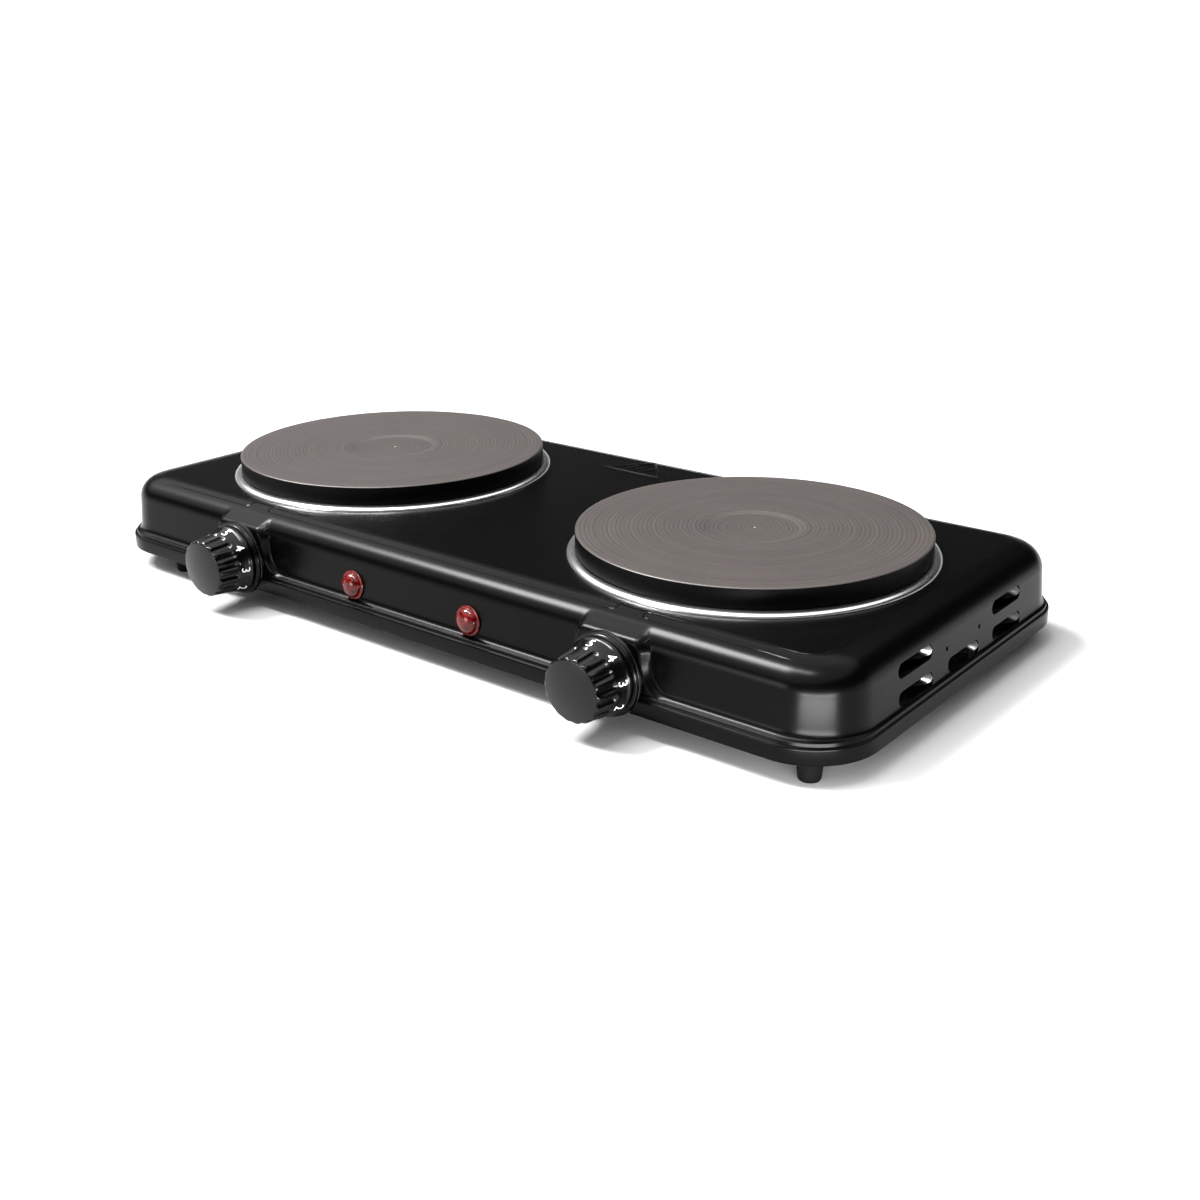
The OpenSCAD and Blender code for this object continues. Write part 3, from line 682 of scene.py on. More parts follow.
    @staticmethod
    def obround(length: float, width: float, depth: float) -> bpy.types.Object:
        """A slot-shaped cutter: its length along Y, its width along Z and its depth along X.

        Args:
            length: Over the round ends.
            width: Across.
            depth: Through the sheet.

        Returns:
            The cutter, at the origin.
        """
        Bench.clear()
        bpy.ops.mesh.primitive_cylinder_add(
            vertices=32, radius=width / 2 * MM, depth=depth * MM, rotation=(0, math.pi / 2, 0)
        )
        item = bpy.context.object
        bpy.ops.object.transform_apply(location=False, rotation=True, scale=False)
        stretch = (length - width) / 2 * MM
        for vertex in item.data.vertices:
            if abs(vertex.co.y) > 0.01 * MM:
                vertex.co.y += math.copysign(stretch, vertex.co.y)
        return item

    @staticmethod
    def drill(radius: float, depth: float, where: Matrix, vertices: int = 64) -> bpy.types.Object:
        """A round cutter, its axis along its own Z, at a place in millimetres.

        Args:
            radius: Radius of the hole.
            depth: Length of the cutter.
            where: Its place.
            vertices: Number of corners round it.

        Returns:
            The cutter.
        """
        Bench.clear()
        bpy.ops.mesh.primitive_cylinder_add(
            vertices=vertices, radius=radius * MM, depth=depth * MM
        )
        return Bench.place(bpy.context.object, where)

    @staticmethod
    def cut(item: bpy.types.Object, cutters: list[bpy.types.Object]) -> None:
        """Cut away several separate cutters at once, and remove them.

        Args:
            item: The object.
            cutters: The cutters, which must not overlap one another.
        """
        tool = Bench.pick(*cutters)
        if len(cutters) > 1:
            bpy.ops.object.join()
        Bench.modifier(item, "BOOLEAN", operation="DIFFERENCE", solver="EXACT", object=tool)
        bpy.data.objects.remove(tool)

    @staticmethod
    def join(items: list[bpy.types.Object], name: str) -> bpy.types.Object:
        """Join several objects into the first, and name it.

        Args:
            items: The objects.
            name: The name for the result.

        Returns:
            The joined object.
        """
        Bench.pick(*items)
        bpy.ops.object.join()
        return Bench.named(name)

    @staticmethod
    def coat(item: bpy.types.Object, *finishes: Finish) -> None:
        """Give an object these finishes, one for each material slot.

        Args:
            item: The object.
            finishes: The finishes, in slot order.
        """
        item.data.materials.clear()
        for finish in finishes:
            item.data.materials.append(finish.build())

    @staticmethod
    def turn(
        name: str,
        outline: list[Point],
        steps: int,
        where: Matrix,
        finish: Finish,
        slot: str,
        node: str,
    ) -> bpy.types.Object:
        """Turn a piece of the base, put it in its place, dress it and fit it.

        Args:
            name: Name of the piece.
            outline: Radius and height of each point, in millimetres.
            steps: Number of steps in the full turn.
            where: Its place.
            finish: Its finish.
            slot: The name of the material slot, handed on to fit.
            node: The node that it stands for.

        Returns:
            The fitted piece.
        """
        item = Bench.lathe(name, outline, steps)
        Bench.place(item, where)
        Bench.coat(item, finish)
        return Bench.fit(item, "base", slot, [node])

    @staticmethod
    def fit(
        item: bpy.types.Object, body: str, slot: str, nodes: Iterable[str] = ()
    ) -> bpy.types.Object:
        """Put a finished piece on the body that it rides on, and hide the nodes that it stands for.

        Args:
            item: The finished piece.
            body: The body that it rides on.
            slot: Not used.
            nodes: The nodes that it stands for.

        Returns:
            The same piece.
        """
        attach(item, body)
        if nodes:
            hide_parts(*nodes)
        log.info("%s: %d faces on %s", item.name, len(item.data.polygons), body)
        return item


def soft_step(value: float) -> float:
    """A smooth rise from 0 to 1 as the value goes from 0 to 1.

    Args:
        value: The input.

    Returns:
        The smoothed rise, held at 0 and 1 outside.
    """
    t = min(1.0, max(0.0, value))
    return t * t * (3 - 2 * t)


def turned(x: float, y: float, z: float, axis: str = "Z", degrees: float = 0.0) -> Matrix:
    """A place in millimetres about the case's middle, turned about one axis.

    Args:
        x: Right of the middle.
        y: Behind the middle.
        z: Height above the floor.
        axis: The axis that the turn is about.
        degrees: The turn.

    Returns:
        The place, with its turn.
    """
    spin = Matrix.Rotation(math.radians(degrees), 4, axis)
    return Matrix.Translation((x, y + CASE_Y, z)) @ spin


def lean_at(z: float) -> float:
    """How far the case's wall stands out at a height."""
    return DRAFT * (WALL_TOP_Z - z) / (WALL_TOP_Z - WALL_FOOT_Z)


# ---------------------------------------------------------------- the case


@dataclass
class Ring:
    """One level of the case's sheet: how far it stands out, how high, and its place on a pad."""

    out_x: float
    out_y: float
    z: float
    pad_out: float | None = None
    pad_z: float | None = None
    half: float = 20.5
    inset: float = 0.0


@dataclass
class Housing:
    """The pressed steel case, with its flange, knob pads, vents and deck."""

    width: float = 509.0
    depth: float = CASE_DEPTH
    corner: float = 29.0
    shoulder: float = 12.5
    sheet: float = 1.2
    pad_out: float = 4.0
    pad_top: float = 47.0
    pad_half: float = 20.5
    pad_foot_half: float = 35.5
    pad_turn: float = 74.0
    edge: float = 3.6
    merge: float = 0.8
    groove: float = 0.5
    groove_half: float = 2.92
    groove_inset: float = 12.22
    vent_length: float = 33.0
    vent_width: float = 7.5
    wall_hole: float = 1.2
    plate_hole: float = 82.5
    shaft_hole: float = 5.0
    bezel_seat: float = 21.3
    light_hole: float = 5.65
    light_seat: float = 8.1
    gland_hole: float = 5.55
    rings: list[Ring] = field(default_factory=list)

    def flare(self, z: float) -> float:
        """Half width of a pad at a height, with its concave flare at the foot.

        Args:
            z: The height.

        Returns:
            The half width.
        """
        reach = self.pad_foot_half - self.pad_half
        foot = WALL_FOOT_Z - 2.0
        rise = min(1.0, max(0.0, (z - foot) / reach))
        return self.pad_foot_half - reach * math.sqrt(1 - (1 - rise) ** 2)

    def inner_rings(self) -> None:
        """List the inside of the sheet, from under the deck down to the hem."""
        t = self.sheet
        add = self.rings.append
        add(Ring(-22, -19, FIELD_Z - t, -19, FIELD_Z - t))
        for step in range(6, -1, -1):
            turn = math.radians(step * 15)
            arc = self.shoulder - t
            out = -self.shoulder + arc * math.cos(turn)
            height = WALL_TOP_Z + arc * math.sin(turn)
            add(Ring(out, out, height, max(out, 1.0), min(height, self.pad_top - 2)))
        add(Ring(1.5 - t, 1.5 - t, 25.0, self.pad_out - t, 25.0))
        add(Ring(2.2 - t, 3.4 - t, 21.0, 3.6 - t, 21.0))
        add(Ring(3.6 - t, 5.2 - t, 19.4))
        add(Ring(5 - t, 7 - t, 18.2))
        add(Ring(5 - t, 7 - t, 11.3))

    def outer_rings(self) -> None:
        """List the outside of the sheet, from the hem up to the deck's field."""
        add = self.rings.append
        flange = [
            (3.8, 5.8, 11.05), (4.2, 6.2, 11.0), (4.75, 6.75, 11.0), (4.95, 6.95, 11.15),
            (5.0, 7.0, 11.5), (5.0, 7.0, 15.0), (5.0, 7.0, 18.0), (4.93, 6.93, 18.5),
            (4.7, 6.7, 18.9), (4.4, 6.35, 19.05), (3.95, 5.8, 19.1), (3.7, 5.45, 19.2),
            (3.6, 5.3, 19.5), (3.55, 5.2, 20.3), (3.45, 5.05, 20.8), (3.15, 4.65, 21.05),
            (2.8, 4.1, 21.15),
        ]
        for out_x, out_y, z in flange:
            add(Ring(out_x, out_y, z))
        fillet = [(2.35, 3.3, 21.35), (1.95, 2.45, 21.9), (1.68, 1.9, 22.8), (1.5, 1.55, 23.8)]
        for (out_x, out_y, z), (out, pad_z) in zip(
            fillet, [(4.1, 21.3), (4.02, 21.6), (4.0, 22.3), (4.0, 23.5)]
        ):
            add(Ring(out_x, out_y, z, out, pad_z, self.flare(z)))
        for z in (25.0, 26.5, 28.0, 29.8, 31.6, 33.4, 35.2, 37.0, 38.5, 39.9):
            add(Ring(lean_at(z), lean_at(z), z, self.pad_out, z, self.flare(z)))
        steps = 20
        for step in range(1, steps + 1):
            out, height = self.shoulder_at(step / steps)
            pad_out, pad_z = self.pad_line(step / steps, out, height)
            half = self.pad_half - 3.6 * soft_step(1.5 * step / steps)
            add(Ring(out, out, height, pad_out, pad_z, half))
        self.deck_rings()

    def shoulder_at(self, share: float) -> tuple[float, float]:
        """Place and height of the shoulder a share of the way from the wall to the gutter.

        Args:
            share: From 0 at the wall to 1 at the gutter.

        Returns:
            How far it stands out, and its height.
        """
        turn = math.acos(1 - 9.0 / self.shoulder) * share
        return (
            -self.shoulder + self.shoulder * math.cos(turn),
            WALL_TOP_Z + self.shoulder * math.sin(turn),
        )

    def pad_line(self, share: float, out: float, height: float) -> tuple[float, float]:
        """Where a pad's outline lies when the shoulder beside it is a share of the way up.

        Args:
            share: From 0 at the shoulder's start to 1 at its top.
            out: The shoulder's own place there.
            height: The shoulder's own height there.

        Returns:
            The pad's place and height.
        """
        # the wall takes the first shares, the rounded edge as many again, and a ramp the rest
        wall_ends, edge_ends = 0.28, 0.56
        edge_foot = self.pad_top - self.edge
        if share < wall_ends:
            return self.pad_out, WALL_TOP_Z + (edge_foot - WALL_TOP_Z) * share / wall_ends
        if share >= self.merge:
            return out, height
        turn = math.radians(self.pad_turn)
        turn *= min(1.0, (share - wall_ends) / (edge_ends - wall_ends))
        top = Vector((
            self.pad_out - self.edge + self.edge * math.cos(turn),
            edge_foot + self.edge * math.sin(turn),
        ))
        if share < edge_ends:
            return top.x, top.y
        # the ramp is straight, and nearly tangent to the edge and to the shoulder
        along = (share - edge_ends) / (self.merge - edge_ends)
        ramp = top.lerp(Vector(self.shoulder_at(self.merge)), along)
        return ramp.x, ramp.y

    def deck_rings(self) -> None:
        """List the rim and the crowned step up to the field, finely where the grooves run."""
        add = self.rings.append
        low = self.shoulder_at(1.0)[1]
        insets = [9.0, 9.15, 9.3, 9.45, 9.6, 9.9, 10.3, 10.8, 11.3, 11.8, 12.3, 12.8, 13.3, 13.8]
        insets += [14.2, 14.6, 14.85, 15.0, 15.15, 15.3, 15.45, 15.65]
        for inset in insets:
            share = min(1.0, (inset - 9.0) / 6.5)
            z = low + (FIELD_Z - low) * math.sin(share * math.pi / 2)
            side = 9.0 + 10.5 * (inset - 9.0) / 6.65
            add(Ring(-side, -inset, z, inset=inset))
        add(Ring(-20.6, -16.7, FIELD_Z))

    def stations(self) -> list[tuple[str, float]]:
        """List the columns round the case: front from the left, then anticlockwise.

        Returns:
            Each column's stretch, and its place along that stretch.
        """
        offsets = [0.0, 3, 5, 12.6, 13.4, 14.4, 15.5, 16.6]
        offsets += [6.2 + 0.4 * i for i in range(16)]
        offsets += [17.4, 18.2, 19.0, 19.8, 20.6, 21.4, 22.2, 23.0]
        offsets += [24 + 0.9 * i for i in range(16)] + [40.0, 44.0]
        xs = {0.0, 10.0, 20.0, 30.0, LIGHT_X, 55.0, 66.0, 76.0, 84.0}
        xs |= {184.0, 194.0, 205.0, 211.0, 217.0}
        for offset in offsets:
            xs |= {PLATE_X + offset, PLATE_X - offset}
        front = sorted(xs | {-x for x in xs})
        out = [("front", x) for x in front]
        sides = (("right", -1, 16), ("rear", 1, 30), ("left", 1, 16))
        for quarter, (kind, start, steps) in enumerate(sides):
            out += [(f"corner{quarter}", i / 18) for i in range(19)]
            out += [(kind, start - start * 2 * i / steps) for i in range(1, steps)]
        return out + [("corner3", i / 18) for i in range(19)]

    def plan(self, ring: Ring, kind: str, t: float, out_y: float) -> tuple[float, float]:
        """Place a column of one ring in plan.

        Args:
            ring: The ring.
            kind: The stretch that the column is on.
            t: Where it is along that stretch.
            out_y: How far the ring stands out there.

        Returns:
            X and Y from the case's middle.
        """
        half_x = self.width / 2 + ring.out_x
        half_y = self.depth / 2 + ring.out_y
        radius = self.corner + (ring.out_x + ring.out_y) / 2
        long_x, long_y = half_x - radius, half_y - radius
        if kind == "front":
            return t, -half_y
        if kind == "rear":
            return t * long_x, half_y
        if kind == "right":
            return half_x, t * long_y
        if kind == "left":
            return -half_x, t * long_y
        quarter = int(kind[-1])
        turn = math.radians(-90 + 90 * quarter + 90 * t)
        centre = ((1, -1), (1, 1), (-1, 1), (-1, -1))[quarter]
        return (
            centre[0] * long_x + radius * math.cos(turn),
            centre[1] * long_y + radius * math.sin(turn),
        )

    def point(self, ring: Ring, kind: str, t: float) -> Vector:
        """Place one vertex of the sheet, on the plain wall or on a knob pad.

        Args:
            ring: The ring.
            kind: The stretch that the column is on.
            t: Where it is along that stretch.

        Returns:
            The place in millimetres.
        """
        x, y = self.plan(ring, kind, t, ring.out_y)
        z = ring.z
        if kind == "front":
            away = min(abs(x - PLATE_X), abs(x + PLATE_X))
            if ring.pad_out is not None:
                weight = 1 - soft_step((away - ring.half + 2.1) / 4.2)
                y += (-(self.depth / 2 + ring.pad_out) - y) * weight
                z += (ring.pad_z - z) * weight
            z -= self.groove_depth(ring.inset, x)
        elif ring.inset:
            z -= 0.55 * self.groove * max(0.0, 1 - abs(ring.inset - 15.15) / 0.3)
        return Vector((x, y + CASE_Y, z))

    def groove_depth(self, inset: float, x: float) -> float:
        """Depth of the groove that outlines each stretch of the front channel.

        Args:
            inset: Distance back from the wall's top.
            x: Place along the front.

        Returns:
            The depth, which is nothing away from the groove.
        """
        if not inset:
            return 0.0
        gap, wide, fade_from, fade_over = 8.0, 0.34, 212, 14
        away = min(abs(x - PLATE_X - 1.5), abs(x + PLATE_X - 1.5))
        short = max(0.0, gap + self.groove_half - away)
        off = abs(math.hypot(inset - self.groove_inset, short) - self.groove_half)
        fade = 1 - soft_step((abs(x) - fade_from) / fade_over)
        return self.groove * max(0.0, 1 - off / wide) * fade

    def shell(self) -> bpy.types.Object:
        """Draw the sheet over its rings and close it under the deck and on top.

        Returns:
            The closed sheet, with no openings yet.
        """
        self.inner_rings()
        self.outer_rings()
        stations = self.stations()
        count = len(stations)
        item = Bench.sheet(
            "case_shell",
            count + 1,
            len(self.rings),
            lambda c, r: self.point(self.rings[r], *stations[c % count]),
        )
        Bench.tidy(item, 0.001)
        Bench.close(item, across=True)
        return item

    def vents(self) -> list[tuple[int, float, float]]:
        """Side, place along the wall and height of every vent slot.

        Returns:
            One entry for each slot.
        """
        pitch, low, high = 48.5, 25.0, 38.5
        places = [(-pitch, low), (-pitch, high), (0.0, low), (pitch, low), (pitch, high)]
        return [(side, y, z) for side in (-1, 1) for y, z in places]

    def cutters(self) -> list[bpy.types.Object]:
        """Make every cutter that pierces the sheet.

        Returns:
            The cutters, none of which touches another.
        """
        tools = []
        for side, y, z in self.vents():
            tool = Bench.obround(self.vent_length, self.vent_width, 12.0)
            tools.append(Bench.place(tool, turned(side * (self.width / 2 - 1), y, z)))
        for side in (-1, 1):
            for y in (-17.4, 17.4):
                where = turned(side * self.width / 2, y, 34.3, "Y", 90)
                tools.append(Bench.drill(self.wall_hole, 12.0, where, 20))
            plate = turned(side * PLATE_X, 0, FIELD_Z - 1.4)
            tools.append(Bench.drill(self.plate_hole, 14.0, plate, 96))
            front = turned(side * PLATE_X, -self.depth / 2, KNOB_Z, "X", 90)
            tools.append(Bench.drill(self.shaft_hole, 22.0, front, 48))
            light = turned(side * LIGHT_X, -self.depth / 2, LIGHT_Z, "X", 85)
            tools.append(Bench.drill(self.light_hole, 12.0, light, 48))
        gland = turned(0, self.depth / 2, GLAND_Z, "X", 90)
        tools.append(Bench.drill(self.gland_hole, 14.0, gland, 48))
        return tools

    def notches(self) -> list[bpy.types.Object]:
        """Make the cutters for the round seats in front of the knobs and round the lights.

        Returns:
            The cutters.
        """
        tools = []
        for side in (-1, 1):
            front = -self.depth / 2 - self.pad_out - 6
            dish = turned(side * PLATE_X, front, KNOB_Z, "X", 90)
            tools.append(Bench.drill(self.bezel_seat, 12.0, dish, 128))
            seat = turned(side * LIGHT_X, -self.depth / 2 - lean_at(LIGHT_Z), LIGHT_Z, "X", 85)
            seat = seat @ Matrix.Translation((0, 0, 2.6))
            tools.append(Bench.drill(self.light_seat, 5.0, seat, 64))
        return tools

    def tongue(self, side: int, y: float, z: float) -> bpy.types.Object:
        """Bend one vent's tongue inwards from the slot's rear end, as a scoop.

        Args:
            side: Minus one for the left wall, one for the right.
            y: Middle of the slot along the wall.
            z: Height of the slot.

        Returns:
            The tongue's sheet, with its thickness.
        """
        radius = self.vent_width / 2
        reach, lean_in = 19.5, math.radians(60)
        rear = y + self.vent_length / 2 + CASE_Y

        def where(column: int, row: int) -> Vector:
            """Follow an arc that leaves the wall steeply and ends level with it.

            Args:
                column: Steps from the slot's rear end towards the tongue's tip.
                row: Steps up the tongue.

            Returns:
                The vertex's place in millimetres.
            """
            turn = lean_in * (1 - column / 24)
            along = reach / lean_in * (math.sin(lean_in) - math.sin(turn))
            depth = reach / lean_in * (math.cos(turn) - math.cos(lean_in))
            across = (row / 8 - 0.5) * 2
            half = radius if along > radius else math.sqrt(radius**2 - (radius - along) ** 2)
            height = z + across * max(half, 0.02)
            bowl = 1.7 * (1 - across**2) * soft_step(along / 3)
            wall = self.width / 2 + lean_at(height)
            return Vector((side * (wall - 0.05 - depth - bowl), rear - along, height))

        item = Bench.sheet("tongue", 25, 9, where)
        Bench.tidy(item, 0.003)
        Bench.modifier(item, "SOLIDIFY", thickness=0.9 * MM, offset=-1.0 if side > 0 else 1.0)
        Bench.tidy(item, 0.003)
        return item

    def mark(self) -> bpy.types.Object:
        """Press the raised triangle and its three slanted bars into the rear of the deck.

        Returns:
            The joined ribs.
        """
        middle, half, foot, height = -7.0, 20.5, 78.0, 24.0
        left, right, tip = (middle - half, foot), (middle + half, foot), (middle, foot + height)
        ribs = [(left, right), (left, tip), (right, tip)]
        for offset in (-8.6, -2.6, 3.4):
            low = middle + offset
            ribs.append(((low, foot + 4.2), (low + 4.2, foot + 12.5)))
        parts = []
        for (x0, y0), (x1, y1) in ribs:
            span = math.hypot(x1 - x0, y1 - y0)
            Bench.clear()
            bpy.ops.mesh.primitive_cube_add(size=1 * MM)
            rib = bpy.context.object
            rib.scale = (span + 1.4, 1.5, 1.0)
            bpy.ops.object.transform_apply(location=False, rotation=False, scale=True)
            Bench.modifier(rib, "BEVEL", width=0.35 * MM, segments=3)
            angle = math.degrees(math.atan2(y1 - y0, x1 - x0))
            where = turned((x0 + x1) / 2, (y0 + y1) / 2, FIELD_Z - 0.1, "Z", angle)
            parts.append(Bench.place(rib, where))
        return Bench.join(parts, "deck_mark")

    def dish(self, side: int) -> bpy.types.Object:
        """Close the flange behind one knob bezel with a shallow curved wall.

        Args:
            side: Minus one for the left knob, one for the right.

        Returns:
            The wall piece.
        """
        outline = [(0.0, 0.0), (22.4, 0.0), (22.4, 3.0), (21.35, 3.0), (21.35, 1.1), (0.0, 1.1)]
        item = Bench.lathe("dish", outline, 96)
        front = turned(side * PLATE_X, -self.depth / 2 - self.pad_out + 1.2, KNOB_Z, "X", 90)
        Bench.place(item, front)
        cap = Bench.drill(60.0, 40.0, turned(side * PLATE_X, -self.depth / 2, 38.6))
        floor = Bench.drill(60.0, 40.0, turned(side * PLATE_X, -self.depth / 2, -8.95))
        Bench.cut(item, [cap, floor])
        return item

    def build(self) -> bpy.types.Object:
        """Build the case in one piece and dress it.

        Returns:
            The finished case.
        """
        shell = self.shell()
        Bench.cut(shell, self.cutters())
        Bench.cut(shell, self.notches())
        case = Bench.join([shell] + [self.dish(side) for side in (-1, 1)], "case_shell")
        Bench.smooth(case, 32)
        Bench.coat(case, ENAMEL)
        Bench.fit(case, "base", "black_enamel", ["housing_shell"])
        tongues = Bench.join([self.tongue(*vent) for vent in self.vents()], "vent_tongues")
        # the tongues take the lit copy of the enamel, for their painted highlights
        for piece, finish in ((tongues, GLINT_ENAMEL), (self.mark(), ENAMEL)):
            Bench.smooth(piece, 40)
            Bench.coat(piece, finish)
            Bench.fit(piece, "base", "black_enamel")
        return case


# ---------------------------------------------------------------- hot plates


@dataclass
class Hob:
    """One cast-iron plate and the stainless ring round it."""

    side: Side
    radius: float = 92.5
    under: float = 55.5
    top: float = 66.5
    recess: float = 26.5
    recess_depth: float = 0.9
    ring_out: float = 97.1
    ring_rise: float = 2.35
    seat: float = 84.5

    def plate(self) -> bpy.types.Object:
        """Turn the plate: painted rim and underside, machined top with its recess.

        Returns:
            The fitted plate.
        """
        r, t, s = self.radius, self.top, self.recess
        outline = [
            (0.0, self.under - 5.5), (14.0, self.under - 5.5), (14.0, self.under),
            (r - 1.0, self.under), (r - 0.3, self.under + 0.3), (r, self.under + 1.0),
            (r, t - 0.9), (r - 0.08, t - 0.5), (r - 0.3, t - 0.2), (r - 0.65, t - 0.05),
            (r - 1.1, t),
        ]
        # shallow grooves at the tool's feed, down over the recess's edge to its middle
        feed, half, depth = 2.05, 0.3, 0.025
        lands = [s + 3.6 + feed * i for i in range(28)]
        for land in reversed(lands):
            outline += [(land + half, t), (land, t - depth), (land - half, t)]
        outline += [
            (s + 2.2, t), (s + 1.2, t - 0.04), (s, t - 0.2), (s - 2.2, t - 0.66),
            (s - 3.2, t - 0.84), (s - 4.4, t - self.recess_depth),
        ]
        low = t - self.recess_depth
        for land in (s - 6.0 - feed * i for i in range(9)):
            outline += [(land + half, low), (land, low - depth), (land - half, low)]
        outline += [(1.2, low), (0.8, low - 0.35), (0.0, low - 0.5)]
        item = Bench.lathe(f"iron_plate_{self.side.word}", outline, 256, closed=False)
        Bench.place(item, turned(self.side.value * PLATE_X, 0, 0))
        Bench.coat(item, IRON_TOP[self.side], IRON_SIDE)
        middle = Vector((self.side.value * PLATE_X, CASE_Y)) * MM
        for face in item.data.polygons:
            below = face.center.z < (t - 0.35) * MM
            outside = (face.center.xy - middle).length > (s + 2) * MM
            face.material_index = 1 if below and outside or face.normal.z < -0.2 else 0
        return Bench.fit(item, "base", "cast_iron", [f"hotplate_{self.side.word}"])

    def ring(self) -> bpy.types.Object:
        """Roll the ring: a half-round lip outside and a seat under the plate.

        Returns:
            The fitted ring.
        """
        inner = self.radius + 0.35
        width = self.ring_out - inner
        outline = []
        for step in range(15):
            # a crowned strip: steep at the outside, then a long fall to the plate
            turn = math.pi / 2 * step / 14
            x = inner + width * math.cos(turn) ** 0.9
            outline.append((x, FIELD_Z + self.ring_rise * math.sin(turn) ** 0.9))
        upper, lower = FIELD_Z + 1.2, FIELD_Z + 0.6
        outline += [(inner, upper), (self.seat, upper), (self.seat, lower), (inner + 1.0, lower)]
        outline += [(inner + 1.4, FIELD_Z + 0.02)]
        item = Bench.lathe(f"trim_lip_{self.side.word}", outline, 224)
        Bench.place(item, turned(self.side.value * PLATE_X, 0, 0))
        Bench.smooth(item, 50)
        Bench.coat(item, STAINLESS)
        return Bench.fit(item, "base", "stainless_ring", [f"trim_ring_{self.side.word}"])

    def build(self) -> None:
        """Build the plate and its ring."""
        self.plate()
        self.ring()


# ---------------------------------------------------------------- knobs


@dataclass
class Dial:
    """One knob, its printed digits and the bezel behind it."""

    side: Side
    five_at: float
    length: float = 22.6
    start: float = 5.4
    flutes: int = 18
    flute_bore: float = 2.5
    flute_top: float = 10.6
    face: float = -121.0
    digit_step: float = 41.2
    digit_size: float = 5.1

    @property
    def where(self) -> Matrix:
        """The frame on the pad: local z points out of the front."""
        return turned(self.side.value * PLATE_X, self.face, KNOB_Z, "X", 90)

    @property
    def body(self) -> str:
        """The body that the knob turns with."""
        return f"knob_{self.side.word}_set"

    def radius_at(self, rise: float) -> float:
        """Radius of the knob's skirt a distance out from its rear edge.

        Args:
            rise: Distance out from the knob's rear edge.

        Returns:
            The radius.
        """
        stops = [(0.0, 19.1), (0.35, 19.4), (1.7, 19.4), (2.3, 19.05), (2.7, 18.75), (6.5, 17.75)]
        stops += [(13.6, 16.75), (19.2, 16.25), (20.1, 16.0), (20.7, 15.5), (21.05, 14.9)]
        for (r0, a), (r1, b) in zip(stops, stops[1:]):
            if rise <= r1:
                return a + (b - a) * (rise - r0) / (r1 - r0)
        return stops[-1][1]

    def handle(self) -> bpy.types.Object:
        """Mould the knob over a wrapped sheet, with its flutes and domed cap.

        Returns:
            The fitted knob.
        """
        rises = [0.0, 0.35, 1.0, 1.7, 2.0, 2.3, 2.7, 3.6, 4.6, 5.6, 6.5, 7.4, 8.2, 8.9, 9.4, 9.8]
        rises += [10.2, 10.6, 11.0, 11.5, 12.2, 13.6, 15.0, 16.6, 18.0, 19.2, 19.7, 20.1]
        rises += [20.4, 20.7, 20.9, 21.05]
        # the cap is part of a sphere, tangent to its rounded edge
        radii = (14.6, 14.0, 13.2, 12.2, 11.0, 9.5, 8.0, 6.0, 4.0, 2.0, 0.7)
        dome = [(r, self.length - 1.5 * (r / 14.6) ** 2.1) for r in radii]
        inside = [(3.06, 13.0), (3.06, 2.0), (3.1, 1.5), (6.4, 1.5), (6.5, 17.0), (12.5, 17.2)]
        inside += [(15.2, 8.0), (16.9, 2.0), (17.1, 0.4), (17.5, 0.0)]
        per = 14
        columns = self.flutes * per
        levels = inside + [(self.radius_at(r), r) for r in rises] + dome

        def place(column: int, row: int) -> Vector:
            """Wrap the sheet, and press a flute in where one runs.

            Args:
                column: Steps round the knob.
                row: Steps along the outline, from the bore to the cap's middle.

            Returns:
                The vertex's place in millimetres.
            """
            angle = math.tau * column / columns
            radius, rise = levels[row]
            if row >= len(inside):
                phase = (column % per) / per - 0.5
                gap = phase * math.tau / self.flutes * radius
                behind = max(0.0, self.flute_top - rise)
                left = self.flute_bore**2 - gap**2 - behind**2
                if left > 0:
                    cut = self.radius_at(min(rise, 19.2)) + 1.35 - math.sqrt(left)
                    radius = min(radius, cut)
            return Vector((radius * math.cos(angle), radius * math.sin(angle), self.start + rise))

        item = Bench.sheet(f"dial_knob_{self.side.word}", columns + 1, len(levels), place)
        Bench.tidy(item, 0.001)
        Bench.close(item)
        Bench.place(item, self.where)
        Bench.smooth(item, 38)
        Bench.coat(item, PHENOLIC)
        return Bench.fit(item, self.body, "phenolic_black", [f"knob_{self.side.word}"])

    def digits(self) -> bpy.types.Object:
        """Print the digits round the skirt, their tops towards the panel.

        Returns:
            The fitted digits.
        """
        # every digit's middle, and the skirt's radius there
        middle, skirt = 5.6, 17.9
        parts = []
        for index, digit in enumerate("543210"):
            Bench.clear()
            bpy.ops.object.text_add()
            text = bpy.context.object
            text.data.body = digit
            text.data.size = self.digit_size * 1.35 * MM
            text.data.align_x = "CENTER"
            text.data.align_y = "CENTER"
            text.data.resolution_u = 6
            bpy.ops.object.convert(target="MESH")
            glyph = bpy.context.object
            Bench.modifier(glyph, "SOLIDIFY", thickness=0.06 * MM, offset=1.0)
            at = math.radians(self.five_at - index * self.digit_step)
            for vertex in glyph.data.vertices:
                rise = middle - vertex.co.y / MM
                radius = self.radius_at(rise) + 0.03 + abs(vertex.co.z) / MM
                angle = at - vertex.co.x / MM / skirt
                vertex.co = Vector(
                    (radius * math.cos(angle), radius * math.sin(angle), self.start + rise)
                ) * MM
            parts.append(glyph)
        item = Bench.join(parts, f"dial_digits_{self.side.word}")
        Bench.place(item, self.where)
        Bench.tidy(item, 0.0005)
        Bench.coat(item, PRINT)
        return Bench.fit(item, self.body, "phenolic_black")

